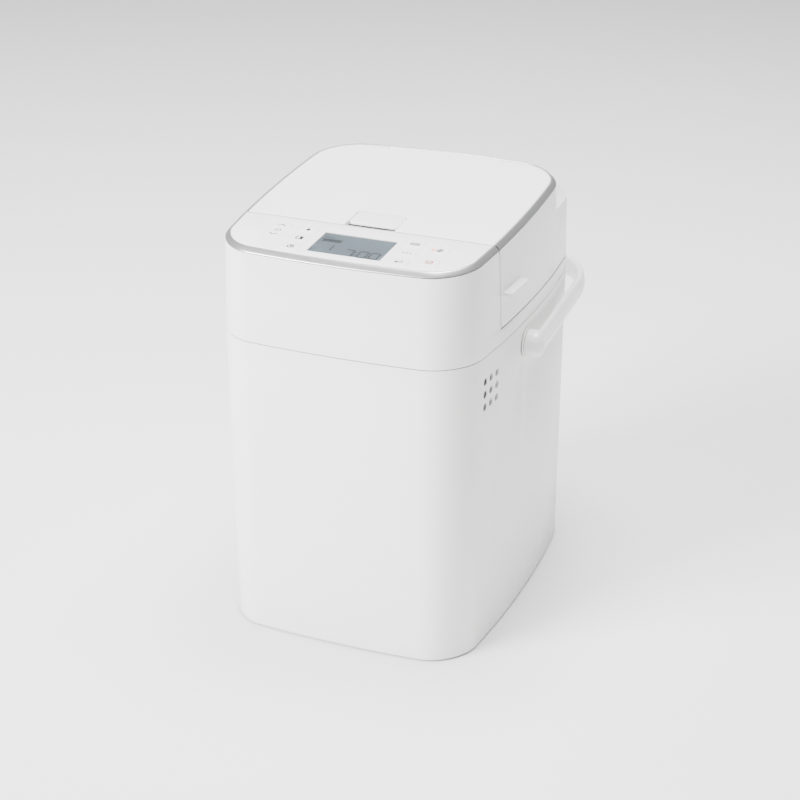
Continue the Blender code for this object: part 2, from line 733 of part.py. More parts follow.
def make_lid_inside(mat):
    inset = WALL + draft(LID_BOTTOM) + 0.5
    line = lid_line(LID_BOTTOM) + LID_LINE_GAP + WALL + 0.5
    plate = [ring(inset, z, "lid", "body", line) for z in (263.3, 264.8)]
    inner = loft("inner_lid", plate, mat["aluminium"])
    hole = [rounded_ring(0, 15.0, z, 40.0, 36.0, 6.0) for z in (255.0, 275.0)]
    cut(inner, loft("inner_lid_cutter", hole, None))
    outer_size, inner_size = (89.0, 90.0), (83.5, 85.5)
    rings = []
    for half_x, half_y, z in ((*outer_size, 261.7), (*outer_size, 263.0),
                              (*inner_size, 263.0), (*inner_size, 261.7)):
        rings.append(rounded_ring(0, OVEN_Y, z, half_x, half_y, 22.0))
    loft("lid_gasket", rings, mat["silicone"], closed=True)
    make_dispenser(mat)
    case = block("dispenser_solenoid", (55.0, 0.0, 265.1), (71.0, 30.0, 281.0), mat["steel"])
    join(case, rod("solenoid_plunger_guide", 4.0, (63.0, 28.0, 273.0), 8.0, "Y", None, 12))


def make_dispenser(mat):
    """A cup that drops nuts and fruit into the pan, with a flap for its floor."""
    rings = []
    flange = -WALL - 0.3
    sizes = ((41.0, 33.0, None), (43.0, 35.0, flange - 1.6), (49.0, 41.0, flange - 1.6), (49.0, 41.0, flange),
             (41.4, 33.4, flange), (39.4, 31.4, None))
    for half_x, half_y, rise in sizes:
        flat = rounded_ring(0.0, 15.0, 290.4, half_x, half_y, 5.0, 3)
        rings.append([(x, y, z if rise is None else rim_z(y, rise)) for x, y, z in flat])
    box = loft("dispenser_box", rings, mat["coated"], closed=True)
    y, z = FLAP_AXIS
    ears = many("dispenser_ears", [block_mesh((s * 38.0 - 1.6, y - 4.6, z - 3.4), (s * 38.0 + 1.6, y + 3.2, z + 5.0))
                                   for s in (-1, 1)])
    join(box, ears)
    cut(box, many("ear_drill", [rod_mesh(1.6, (-45.0, y, z), 90.0, "X", 10)]))
    rod("flap_pin", 1.2, (-39.4, y, z), 78.8, "X", mat["steel"], 10)
    plate = [rounded_ring(0, 14.0, z + up, 38.0, 32.0, 4.0, 3) for up in (0.0, 1.6)]
    flap = loft("dispenser_flap", plate, mat["coated"])
    join(flap, block("flap_neck", (-34.0, y - 6.4, z), (34.0, y, z + 1.6), None))
    join(flap, turned("flap_barrel", [(2.6, 0.0), (2.6, 70.0)], (-35.0, y, z), "X", None, 12))
    cut(flap, many("flap_drill", [rod_mesh(1.5, (-40.0, y, z), 80.0, "X", 10)]))
    set_origin(flap, (0.0, y, z))


def make_hinge_pins(mat):
    for sx, name in ((-1, "lid_hinge_pin_left"), (1, "lid_hinge_pin_right")):
        rod(name, 1.6, (sx * 42.0 - 14.6, LID_AXIS_Y, LID_AXIS_Z), 29.2, "X", mat["steel"], 12)
    z = rim_z(COVER_AXIS_Y, COVER_AXIS_RISE)
    for sx, name in ((-1, "cover_hinge_pin_left"), (1, "cover_hinge_pin_right")):
        rod(name, 0.7, (sx * COVER_LUG_X - 7.6, COVER_AXIS_Y, z), 15.2, "X", mat["steel"], 8)


# ---- Oven and pan ----------------------------------------------------------

def make_oven(mat):
    thick = 1.2
    top = DECK_TOP - DECK_THICKNESS - GAP
    size = ((LINER_X, LINER_Y, LINER_BOTTOM + 6.0), (LINER_X - 6.0, LINER_Y - 6.0, LINER_BOTTOM))
    rings = [
        rounded_ring(0, OVEN_Y, size[1][2], size[1][0], size[1][1], LINER_CORNER - 6),
        rounded_ring(0, OVEN_Y, size[0][2], *size[0][:2], LINER_CORNER),
        rounded_ring(0, OVEN_Y, top - thick, LINER_X, LINER_Y, LINER_CORNER),
        rounded_ring(0, OVEN_Y, top - thick, LINER_X + 7, LINER_Y + 7, LINER_CORNER + 7),
        rounded_ring(0, OVEN_Y, top, LINER_X + 7, LINER_Y + 7, LINER_CORNER + 7),
        rounded_ring(0, OVEN_Y, top, LINER_X - thick, LINER_Y - thick, LINER_CORNER - thick),
        rounded_ring(0, OVEN_Y, LINER_BOTTOM + 6.4, LINER_X - thick, LINER_Y - thick, LINER_CORNER - thick),
        rounded_ring(0, OVEN_Y, LINER_BOTTOM + thick, LINER_X - 6.7, LINER_Y - 6.7, LINER_CORNER - 6.7),
    ]
    liner = loft("chamber_liner", rings, mat["steel"])
    wall_y = OVEN_Y - LINER_Y - 6.0
    drills = [
        rod_mesh(14.0, (0.0, OVEN_Y, LINER_BOTTOM - 4.0), 9.0, "Z", 24),
        rod_mesh(4.2, (-20.0, wall_y, 82.0), 12.0, "Y"),
        rod_mesh(4.2, (20.0, wall_y, 82.0), 12.0, "Y"),
        rod_mesh(3.4, (45.0, wall_y, 150.0), 12.0, "Y"),
    ]
    cut(liner, many("liner_drill", drills))
    tube("heater_element", heater_path(), 3.2, mat["steel"], 1)
    probe = [(2.4, 0.0), (3.0, 2.0), (3.0, 13.0), (5.0, 13.0), (5.0, 19.0)]
    spun = turned("temperature_sensor", [(r, -h) for r, h in reversed(probe)],
                  (45.0, OVEN_Y - LINER_Y + 10.0, 150.0), "Y", mat["steel"], 12)
    ring_profile = [(37.0, 0.0), (37.0, 9.0), (34.0, 11.5)]
    turned("pan_mount", ring_profile, (0.0, OVEN_Y, LINER_BOTTOM + 1.6), "Z", mat["steel"], 28, hole=31.0)
    return liner, spun


def heater_path():
    """An open loop round the pan's foot, with both ends out through the front."""
    half_x, half_y, r, z = 70.5, 74.5, 18.0, 82.0
    front = OVEN_Y - half_y
    points = [(-20.0, front - 20.0, z), (-20.0, front - 6.0, z), (-22.0, front - 1.5, z), (-27.0, front, z)]
    corners = ((-1, -1, 270), (-1, 1, 180), (1, 1, 90), (1, -1, 0))
    for sx, sy, start in corners:
        for i in range(5):
            a = radians(start - 90 * i / 4)
            points.append((sx * (half_x - r) + r * cos(a), OVEN_Y + sy * (half_y - r) + r * sin(a), z))
    points += [(27.0, front, z), (22.0, front - 1.5, z), (20.0, front - 6.0, z), (20.0, front - 20.0, z)]
    return points


def make_pan(mat):
    wall = 1.8
    outer = ((50.0, 54.0, PAN_FLOOR_Z, 14.0), (58.0, 62.0, PAN_FLOOR_Z + 7.0, 18.0),
             (63.0, 67.0, PAN_RIM_Z - 2.0, 20.0), (67.5, 71.5, PAN_RIM_Z - 2.0, 24.0),
             (67.5, 71.5, PAN_RIM_Z, 24.0))
    inner = ((63.0 - wall, 67.0 - wall, PAN_RIM_Z, 19.0),
             (58.0 - wall, 62.0 - wall, PAN_FLOOR_Z + 8.0, 17.0),
             (50.6 - wall, 54.6 - wall, PAN_FLOOR_Z + 2.2, 13.0))
    rings = [rounded_ring(0, OVEN_Y, z, hx, hy, r, 4) for hx, hy, z, r in outer + inner]
    pan = loft("bread_pan", rings, mat["coated"])
    foot_z = LINER_BOTTOM + 1.7
    foot = turned("pan_foot", [(30.0, 0.0), (30.0, PAN_FLOOR_Z + 1.0 - foot_z)],
                  (0.0, OVEN_Y, foot_z), "Z", None, 28, hole=26.5)
    join(pan, foot)
    for sx in (-1, 1):
        ear = block(f"pan_ear_{sx}", (sx * 66.0 - 1.4, OVEN_Y - 6.0, PAN_RIM_Z - 14.0),
                    (sx * 66.0 + 1.4, OVEN_Y + 6.0, PAN_RIM_Z - 0.6), None)
        join(pan, ear)
    ear_holes = [rod_mesh(2.2, (sx * 63.4, OVEN_Y, PAN_RIM_Z - 9.0), sx * 10.0, "X", 12) for sx in (-1, 1)]
    centre = rod_mesh(10.3, (0.0, OVEN_Y, PAN_FLOOR_Z - 4.0), 10.0, "Z", 20)
    cut(pan, many("pan_drill", ear_holes + [centre]))
    bush = [(11.5, -5.0), (11.5, -0.6), (10.0, -0.6), (10.0, 8.0)]
    turned("pan_bushing", bush, (0.0, OVEN_Y, PAN_FLOOR_Z), "Z", mat["brass"], 20, hole=4.4)
    return pan


def make_pan_bail(mat):
    """A wire handle hooked through the pan's ears, folded down to one side."""
    pivot = (0.0, OVEN_Y, PAN_RIM_Z - 9.0)
    lean = radians(BAIL_LEAN)
    steps = 14
    points = []
    arm_x, reach, fold = 70.6, 62.0, 14.0
    path = [(64.0, 0.0), (arm_x - 1.5, 0.0), (arm_x, 1.5), (arm_x, reach - fold)]
    for i in range(1, steps // 2):
        a = pi / 2 * i / (steps // 2)
        path.append((arm_x - fold + fold * cos(a), reach - fold + fold * sin(a)))
    path.append((arm_x - fold, reach))
    full = path + [(-x, s) for x, s in reversed(path)]
    for x, s in full:
        points.append((x, s * cos(lean), s * sin(lean)))
    bail = tube("pan_bail", points, 1.6, mat["steel"], 1)
    bail.location = Vector(pivot) * MM
    return bail


def make_drive(mat):
    axis = (0.0, OVEN_Y)
    rod("drive_shaft", 5.0, (*axis, 26.0), 43.0, "Z", mat["steel"], 20)
    turned("shaft_bearing", [(10.6, 0.0), (10.6, 11.5)], (*axis, 51.0), "Z", mat["brass"], 24, hole=5.06)
    coupling = turned("drive_coupling", [(11.0, 0.0), (11.0, 5.0), (9.5, 6.5)], (*axis, 65.6), "Z",
                      mat["steel"], 20, hole=5.3)
    for s in (-1, 1):
        peg = rod(f"coupling_peg_{s}", 2.0, (0.0, OVEN_Y + s * 7.6, 69.0), 8.4, "Z", None, 10)
        join(coupling, peg)
    rim = PULLEY_RADIUS
    profile = [(rim + 2.2, 0.0), (rim + 2.2, 1.2), (rim, 1.6), (rim, 9.8), (rim + 2.2, 10.2), (rim + 2.2, 11.4)]
    pulley = turned("large_pulley", profile, (*axis, 29.0), "Z", mat["dark"], 32, hole=5.3)
    windows = []
    for i in range(6):
        a = 2 * pi * i / 6
        windows.append(rod_mesh(8.0, (24.0 * cos(a), OVEN_Y + 24.0 * sin(a), 24.0), 22.0, "Z", 10))
    cut(pulley, many("pulley_windows", windows))
    motor = turned("motor", [(9.0, -2.0), (9.0, 0.0), (27.0, 0.0), (28.0, 1.5), (28.0, 62.0), (26.0, 66.0)],
                   (0.0, MOTOR_Y, 60.8), "Z", mat["steel"], 24, hole=3.4)
    small = MOTOR_PULLEY_RADIUS
    profile = [(small + 2.0, 0.0), (small + 2.0, 1.2), (small, 1.6), (small, 9.8), (small + 2.0, 10.2),
               (small + 2.0, 11.4), (3.0, 11.4), (3.0, 70.0)]
    turned("motor_pulley", profile, (0.0, MOTOR_Y, 29.0), "Z", mat["steel"], 20)
    belt = belt_rings()
    loft("drive_belt", belt, mat["rubber"], closed=True)
    return motor


def belt_rings():
    """A flat belt's loop round both pulleys, with straight runs between."""
    span = OVEN_Y - MOTOR_Y
    lean = atan2(PULLEY_RADIUS - MOTOR_PULLEY_RADIUS, span)
    rings = []
    for extra, z in ((0.35, 31.2), (1.9, 31.2), (1.9, 38.2), (0.35, 38.2)):
        points = []
        for centre, radius, start, sweep in ((OVEN_Y, PULLEY_RADIUS, -lean, pi + 2 * lean),
                                             (MOTOR_Y, MOTOR_PULLEY_RADIUS, pi + lean, pi - 2 * lean)):
            steps = 18 if centre == OVEN_Y else 10
            for i in range(steps + 1):
                a = start + sweep * i / steps
                points.append(((radius + extra) * cos(a), centre + (radius + extra) * sin(a), z))
        rings.append(points)
    return rings


def make_pan_drive(mat):
    """The shaft and blade that lift out with the pan."""
    axis = (0.0, OVEN_Y)
    shaft = rod("pan_shaft", 4.0, (*axis, 72.6), 38.0, "Z", mat["steel"], 16)
    dog = block("pan_dog", (-9.0, OVEN_Y - 2.2, 73.0), (9.0, OVEN_Y + 2.2, 77.6), None)
    join(shaft, dog)
    hub = turned("kneading_blade", [(8.0, 0.0), (7.0, 16.0), (5.6, 18.5)], (*axis, 92.9), "Z",
                 mat["coated"], 16, hole=4.25)
    outline = [(6.0, 0.6), (44.0, 0.6), (47.0, 5.0), (44.0, 14.0), (30.0, 21.0), (6.0, 15.0)]
    rings = []
    for y in (-2.4, 2.4):
        rings.append([(x, OVEN_Y + y * (1.0 - 0.008 * x) + 0.18 * (x - 6.0), 92.9 + z)
                      for x, z in outline])
    join(hub, loft("blade_wing", rings, None))
    return hub


def make_chassis(mat):
    """A tray on four legs that carries the oven, the bearing and the motor."""
    plate = loft("chassis", [rounded_ring(0, -4.0, z, 92.0, 124.0, 16.0) for z in (57.6, 60.5)], mat["steel"])
    legs = [block_mesh((sx * 82.0 - 5.0, y - 5.0, 6.3), (sx * 82.0 + 5.0, y + 5.0, 59.0))
            for sx in (-1, 1) for y in (-86.0, 84.0)]
    join(plate, many("chassis_legs", legs))
    holes = [rod_mesh(10.9, (0.0, OVEN_Y, 50.0), 16.0, "Z", 24),
             rod_mesh(10.0, (0.0, MOTOR_Y, 50.0), 16.0, "Z", 20)]
    cut(plate, many("chassis_drill", holes))
    return plate


def make_power_board(mat):
    board = block("power_board", (-88.0, -104.0, 60.8), (-36.0, -102.4, 142.0), mat["board"])
    join(board, block("power_transformer", (-80.0, -103.0, 74.0), (-52.0, -82.0, 100.0), None))
    join(board, block("power_relay", (-48.0, -103.0, 80.0), (-38.0, -90.0, 96.0), None))
    join(board, rod("power_capacitor", 8.0, (-66.0, -103.2, 122.0), 20.0, "Y", None, 16))
    return board


# ---- Carrying handle -------------------------------------------------------

def handle_path():
    """The strap's middle line, as (x, distance back from the pivot)."""
    straight = HANDLE_REACH - HANDLE_CORNER
    end_x = HANDLE_ARM_X - HANDLE_SPLAY * straight / HANDLE_REACH
    half = [(HANDLE_ARM_X, 0.0), (end_x + (HANDLE_ARM_X - end_x) * 0.5, straight * 0.5)]
    steps = 10
    for i in range(steps + 1):
        a = pi / 2 * i / steps
        half.append((end_x - HANDLE_CORNER + HANDLE_CORNER * cos(a), straight + HANDLE_CORNER * sin(a)))
    return half + [(-x, s) for x, s in reversed(half)]


def make_handle(mat):
    path = handle_path()
    sections = []
    for i, (x, s) in enumerate(path):
        before = path[max(i - 1, 0)]
        after = path[min(i + 1, len(path) - 1)]
        along = Vector((after[0] - before[0], after[1] - before[1])).normalized()
        out = Vector((along.y, -along.x))
        section = []
        for k in range(10):
            a = 2 * pi * k / 10 + pi / 10
            wide = HANDLE_HALF_THICK * cos(a)
            section.append((x + out.x * wide, HANDLE_PIVOT_Y + s + out.y * wide,
                            HANDLE_PIVOT_Z + HANDLE_HALF_TALL * sin(a)))
        sections.append(section)
    handle = loft("carry_handle", sections, mat["white"])
    for sx in (-1, 1):
        inner, outer = 111.9, HANDLE_ARM_X + 3.0
        profile = [(11.0, inner), (11.0, outer - 1.6), (9.4, outer)]
        if sx < 0:
            profile = [(r, -x) for r, x in reversed(profile)]
        boss = turned(f"handle_boss_{sx}", profile, (0.0, HANDLE_PIVOT_Y, HANDLE_PIVOT_Z), "X", None, 20)
        join(handle, boss)
    bores = [rod_mesh(4.4, (sx * 100.0, HANDLE_PIVOT_Y, HANDLE_PIVOT_Z), sx * 18.0, "X") for sx in (-1, 1)]
    cut(handle, many("handle_drill", bores))
    set_origin(handle, (0.0, HANDLE_PIVOT_Y, HANDLE_PIVOT_Z))
    for sx, name in ((-1, "handle_pivot_left"), (1, "handle_pivot_right")):
        profile = [(4.0, 102.0), (4.0, 110.2), (12.2, 110.2), (12.2, 111.5), (4.0, 111.5), (4.0, 117.2)]
        if sx < 0:
            profile = [(r, -x) for r, x in reversed(profile)]
        turned(name, profile, (0.0, HANDLE_PIVOT_Y, HANDLE_PIVOT_Z), "X", mat["white"], 20)


def pivot(name, place, parent=None):
    """An empty on a joint's axis, placed in the machine's own axes."""
    empty = bpy.data.objects.new(name, None)
    bpy.context.scene.collection.objects.link(empty)
    holder = parent or machine
    empty.parent = holder
    empty.location = Vector(place) * MM - offset_of(holder)
    return empty


def offset_of(obj):
    """Where an object sits in the machine's own axes; nothing here is turned."""
    total = Vector((0.0, 0.0, 0.0))
    while obj and obj != machine:
        total = total + obj.location
        obj = obj.parent
    return total


def hang(empty, names):
    for name in names:
        obj = bpy.data.objects[name]
        obj.location = obj.location - offset_of(empty)
        obj.parent = empty


def make_pivots():
    """Hang each moving group on an empty that lies on its joint's axis."""
    lid = pivot("lid_pivot", (0.0, LID_AXIS_Y, LID_AXIS_Z))
    cover_z = rim_z(COVER_AXIS_Y, COVER_AXIS_RISE)
    cover = pivot("cover_pivot", (0.0, COVER_AXIS_Y, cover_z), lid)
    hang(lid, ("lid_shell", "lid_trim", "inner_lid", "lid_gasket", "dispenser_box", "flap_pin",
               "dispenser_flap", "dispenser_solenoid", "cover_hinge_pin_left", "cover_hinge_pin_right"))
    hang(cover, ("top_cover", "cover_latch"))
    pan = pivot("pan_lift_pivot", (0.0, OVEN_Y, PAN_FLOOR_Z))
    mixer = pivot("mixer_pivot", (0.0, OVEN_Y, PAN_FLOOR_Z), pan)
    hang(pan, ("bread_pan", "pan_bushing", "pan_bail"))
    hang(mixer, ("pan_shaft", "kneading_blade"))
    drive = pivot("drive_pivot", (0.0, OVEN_Y, LINER_BOTTOM))
    hang(drive, ("drive_shaft", "drive_coupling", "large_pulley"))
    rotor = pivot("rotor_pivot", (0.0, MOTOR_Y, LINER_BOTTOM))
    hang(rotor, ("motor_pulley",))


def build():
    mat = make_finishes()
    make_body_shell(mat)
    make_base_plate(mat)
    make_feet(mat)
    make_cord_gland(mat)
    make_upper_housing(mat)
    make_front_trim(mat)
    make_control_panel(mat)
    make_keys(mat)
    make_display(mat)
    make_control_board(mat)
    make_lid_shell(mat)
    make_lid_trim(mat)
    make_top_cover(mat)
    make_latch(mat)
    make_lid_inside(mat)
    make_hinge_pins(mat)
    make_oven(mat)
    make_pan(mat)
    make_pan_bail(mat)
    make_chassis(mat)
    make_drive(mat)
    make_pan_drive(mat)
    make_power_board(mat)
    make_handle(mat)
    make_pivots()


clear_scene()
machine = bpy.data.objects.new("machine_origin", None)
machine.location = (0.0, SHIFT_Y * MM, 0.0)
bpy.context.scene.collection.objects.link(machine)
build()
bpy.context.view_layer.update()
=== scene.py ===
from math import cos, pi, radians, sin, tan

import bpy
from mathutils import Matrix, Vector


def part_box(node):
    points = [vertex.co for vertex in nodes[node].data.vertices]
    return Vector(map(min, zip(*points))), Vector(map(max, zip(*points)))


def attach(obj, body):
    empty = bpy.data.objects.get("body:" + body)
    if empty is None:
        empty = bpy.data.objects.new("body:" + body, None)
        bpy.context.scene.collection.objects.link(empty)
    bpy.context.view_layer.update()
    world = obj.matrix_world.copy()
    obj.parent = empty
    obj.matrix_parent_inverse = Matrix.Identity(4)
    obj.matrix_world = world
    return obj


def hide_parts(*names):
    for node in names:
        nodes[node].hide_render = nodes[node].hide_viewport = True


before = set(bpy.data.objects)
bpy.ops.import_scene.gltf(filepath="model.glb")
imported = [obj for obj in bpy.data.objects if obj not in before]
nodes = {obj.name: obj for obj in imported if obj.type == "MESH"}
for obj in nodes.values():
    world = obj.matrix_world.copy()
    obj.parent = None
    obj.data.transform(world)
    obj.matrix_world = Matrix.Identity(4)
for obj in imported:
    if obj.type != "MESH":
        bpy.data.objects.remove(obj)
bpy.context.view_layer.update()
mm = 0.001

# the case's own middle: its box in the frame gives the outline and the shift back to the origin
caseLow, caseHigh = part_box("body_shell")
trimLow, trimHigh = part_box("lid_trim")
shiftY = (caseLow[1] + caseHigh[1]) / 2 / mm
caseTop = caseHigh[2] / mm

outline = {
    "halfWidth": (caseHigh[0] - caseLow[0]) / 2 / mm,
    "halfDepth": (caseHigh[1] - caseLow[1]) / 2 / mm,
    "frontCorner": 34.8,
    "rearCorner": 42.5,
    "sideBow": 9.4,
    "endBow": 5.9,
    "raisedCorner": 38.0,
    "raisedBow": 11.0,
    "wall": 2.4,
    "arcSteps": 18,
    "sideSteps": 9,
    "middleSteps": 5,
}
heights = {
    "bottom": 1.5,
    "caseTop": caseTop,
    "seam": caseTop + 0.3,
    "deckTop": 261.4,
    "deckUnder": 258.4,
    "lidBottom": 262.2,
    "shoulder": 313.0,
    "rimFront": 319.8,
    "rimMean": 325.0,
    "rimSlope": tan(radians(3.736)),
}
lidLine = {"top": -72.1, "lean": 2.4, "gap": 0.8}
ovenY = 28.0


def lowerDraft(z):
    return tan(radians(0.175)) * (heights["seam"] - z)


def upperDraft(z):
    return tan(radians(1.6)) * (z - heights["seam"])


def draftAt(z):
    return lowerDraft(z) if z < heights["seam"] else upperDraft(z)


rimInset = upperDraft(heights["rimMean"])
raisedRear = trimHigh[1] / mm - shiftY + rimInset + 0.2


def rimZ(y, rise=0.0):
    return heights["rimFront"] + heights["rimSlope"] * (y + 141.1) + rise


def lineAt(z):
    top = rimZ(lidLine["top"])
    return lidLine["top"] + lidLine["lean"] * (top - z) / (top - heights["lidBottom"])


def sideX(y, inset=0.0):
    o = outline
    return (o["halfWidth"] - inset) * (1 - o["sideBow"] / o["halfWidth"] * (y / o["halfDepth"]) ** 2)


def bowed(x, y, bow, reach):
    o = outline
    side = 1 - o["sideBow"] / o["halfWidth"] * (y / o["halfDepth"]) ** 2
    return x * side, y - bow * y / reach * (x / o["halfWidth"]) ** 2


def steps(start, end, count):
    return [start + (end - start) * i / count for i in range(1, count)]


def halfPlan(inset, front, rear, line):
    # the right half of an outline, from the front middle round to the rear middle
    o = outline
    points = []
    middle = [0.04] + steps(0.04, 1.0, o["middleSteps"])
    arc = o["arcSteps"]
    if front == "body":
        r = o["frontCorner"] - inset
        cx, cy = o["halfWidth"] - o["frontCorner"], -o["halfDepth"] + o["frontCorner"]
        points += [bowed(cx * part, cy - r, o["endBow"], o["halfDepth"]) for part in middle]
        for i in range(arc + 1):
            a = -pi / 2 + pi / 2 * i / arc
            points.append(bowed(cx + r * cos(a), cy + r * sin(a), o["endBow"], o["halfDepth"]))
    else:
        r = 1.2
        cx, cy = sideX(line, inset) - r, line + r
        points += [(cx * part, line) for part in middle]
        for i in range(arc + 1):
            a = -pi / 2 + pi / 2 * i / arc
            points.append((cx + r * cos(a), cy + r * sin(a)))
    if rear == "line":
        corner = (sideX(line, inset), line)
        points += [corner] * (o["sideSteps"] + arc + 1)
        points += [(corner[0] * part, line) for part in reversed(middle)]
        return points
    if rear == "body":
        corner, reach, bow = o["rearCorner"], o["halfDepth"], o["endBow"]
    else:
        corner, reach, bow = o["raisedCorner"], raisedRear, o["raisedBow"]
    for y in [-60.0] + steps(-60.0, 54.0, o["sideSteps"] - 1) + [54.0]:
        points.append((sideX(y, inset), y))
    r = corner - inset
    cx, cy = o["halfWidth"] - corner, reach - corner
    for i in range(arc + 1):
        a = pi / 2 * i / arc
        points.append(bowed(cx + r * cos(a), cy + r * sin(a), bow, reach))
    points += [bowed(cx * part, cy + r, bow, reach) for part in reversed(middle)]
    return points


def ring(inset, height, front="body", rear="body", line=0.0):
    half = halfPlan(inset, front, rear, line)
    plan = half + [(-x, y) for x, y in reversed(half)]
    return [(x, y, height(y) if callable(height) else height) for x, y in plan]


def slopeRing(inset, rise, front="body", rear="body", line=0.0):
    return ring(inset, lambda y: rimZ(y, rise), front, rear, line)


def roundedRing(cx, cy, z, halfX, halfY, radius, arc=8):
    points = []
    for sx, sy, start in ((1, -1, -90), (1, 1, 0), (-1, 1, 90), (-1, -1, 180)):
        for i in range(arc + 1):
            a = radians(start + 90 * i / arc)
            x = cx + sx * (halfX - radius) + radius * cos(a)
            y = cy + sy * (halfY - radius) + radius * sin(a)
            points.append((x, y, z))
    return points


def padRing(at, size, rise, radius, pull=0.0, arc=5):
    halfX, halfY = size[0] / 2 - pull, size[1] / 2 - pull
    flat = roundedRing(at[0], at[1], 0.0, halfX, halfY, max(radius - pull, 0.2), arc)
    return [(x, y, rimZ(y, rise)) for x, y, _ in flat]


# modelling helpers

def deselect():
    if bpy.context.object and bpy.context.object.mode != "OBJECT":
        bpy.ops.object.mode_set(mode="OBJECT")
    bpy.ops.object.select_all(action="DESELECT")


def makeActive(obj):
    deselect()
    obj.select_set(True)
    bpy.context.view_layer.objects.active = obj


def tidyMesh(obj, fill):
    # welds a skin's seams, closes its ends and turns its faces outwards
    makeActive(obj)
    bpy.ops.object.mode_set(mode="EDIT")
    bpy.ops.mesh.select_all(action="SELECT")
    bpy.ops.mesh.remove_doubles(threshold=0.00001)
    bpy.ops.mesh.dissolve_degenerate(threshold=0.000005)
    if fill:
        bpy.ops.mesh.select_all(action="SELECT")
        bpy.ops.mesh.fill_holes(sides=0)
    bpy.ops.mesh.select_all(action="SELECT")
    bpy.ops.mesh.normals_make_consistent(inside=False)
    bpy.ops.object.mode_set(mode="OBJECT")


def skin(name, rings, closed=False):
    # a grid primitive wrapped round a stack of outlines
    rows = [list(points) + [points[0]] for points in rings]
    if closed:
        rows.append(rows[0])
    across, along = len(rows[0]) - 1, len(rows) - 1
    deselect()
    bpy.ops.mesh.primitive_grid_add(x_subdivisions=across, y_subdivisions=along, size=1, location=(0, 0, 0))
    obj = bpy.context.object
    obj.name = name
    obj.data.name = name
    for vertex in obj.data.vertices:
        column = round((vertex.co.x + 0.5) * across)
        row = round((vertex.co.y + 0.5) * along)
        x, y, z = rows[row][column]
        vertex.co = Vector((x, y + shiftY, z)) * mm
    tidyMesh(obj, not closed)
    return obj


def brick(low, high):
    deselect()
    middle = [(a + b) / 2 for a, b in zip(low, high)]
    place = (middle[0] * mm, (middle[1] + shiftY) * mm, middle[2] * mm)
    bpy.ops.mesh.primitive_cube_add(size=1, location=place)
    obj = bpy.context.object
    obj.scale = [(b - a) * mm for a, b in zip(low, high)]
    bpy.ops.object.transform_apply(location=True, rotation=True, scale=True)
    return obj


def drum(radius, start, length, axis, sides=32):
    deselect()
    turn = {"X": (0, pi / 2, 0), "Y": (-pi / 2, 0, 0), "Z": (0, 0, 0)}[axis]
    middle = list(start)
    middle["XYZ".index(axis)] += length / 2
    place = (middle[0] * mm, (middle[1] + shiftY) * mm, middle[2] * mm)
    bpy.ops.mesh.primitive_cylinder_add(vertices=sides, radius=radius * mm, depth=abs(length) * mm,
                                        location=place, rotation=turn)
    obj = bpy.context.object
    bpy.ops.object.transform_apply(location=True, rotation=True, scale=True)
    return obj


def turned(name, profile, centre, axis, sides=48, hole=0.0):
    # profile is (radius, distance along the axis from the centre)
    order = list(profile)
    if hole:
        order += [(hole, profile[-1][1]), (hole, profile[0][1])]
    rings = []
    for radius, along in order:
        points = []
        for i in range(sides):
            u, v = radius * cos(2 * pi * i / sides), radius * sin(2 * pi * i / sides)
            local = {"X": (along, u, v), "Y": (v, along, u), "Z": (u, v, along)}[axis]
            points.append(tuple(c + d for c, d in zip(centre, local)))
        rings.append(points)
    return skin(name, rings, closed=bool(hole))


def together(objs):
    deselect()
    for obj in objs:
        obj.select_set(True)
    bpy.context.view_layer.objects.active = objs[0]
    if len(objs) > 1:
        bpy.ops.object.join()
    return objs[0]


def carve(obj, tool, operation="DIFFERENCE"):
    modifier = obj.modifiers.new("carve", "BOOLEAN")
    modifier.operation = operation
    modifier.solver = "EXACT"
    modifier.object = tool
    makeActive(obj)
    bpy.ops.object.modifier_apply(modifier=modifier.name)
    bpy.data.objects.remove(tool, do_unlink=True)
    return obj


def weld(obj, tool):
    return carve(obj, tool, "UNION")


def soften(obj, width, segments=2, angle=38):
    modifier = obj.modifiers.new("edges", "BEVEL")
    modifier.width = width * mm
    modifier.segments = segments
    modifier.limit_method = "ANGLE"
    modifier.angle_limit = radians(angle)
    makeActive(obj)
    bpy.ops.object.modifier_apply(modifier=modifier.name)
    return obj


def finishPiece(obj, name, material, body, replaced=(), angle=32):
    obj.name = name
    obj.data.name = name
    makeActive(obj)
    bpy.ops.object.shade_smooth_by_angle(angle=radians(angle))
    obj.data.materials.clear()
    obj.data.materials.append(material)
    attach(obj, body)
    if replaced:
        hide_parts(*replaced)
    return obj


# materials

def toLinear(code):
    values = [int(code[i:i + 2], 16) / 255 for i in (1, 3, 5)]
    return tuple(v / 12.92 if v <= 0.04045 else ((v + 0.055) / 1.055) ** 2.4 for v in values) + (1.0,)


def addNode(tree, kind, settings=None, links=None):
    node = tree.nodes.new(kind)
    for key, value in (settings or {}).items():
        if key in node.inputs:
            node.inputs[key].default_value = value
        else:
            setattr(node, key, value)
    for key, source in (links or {}).items():
        tree.links.new(source, node.inputs[key])
    return node


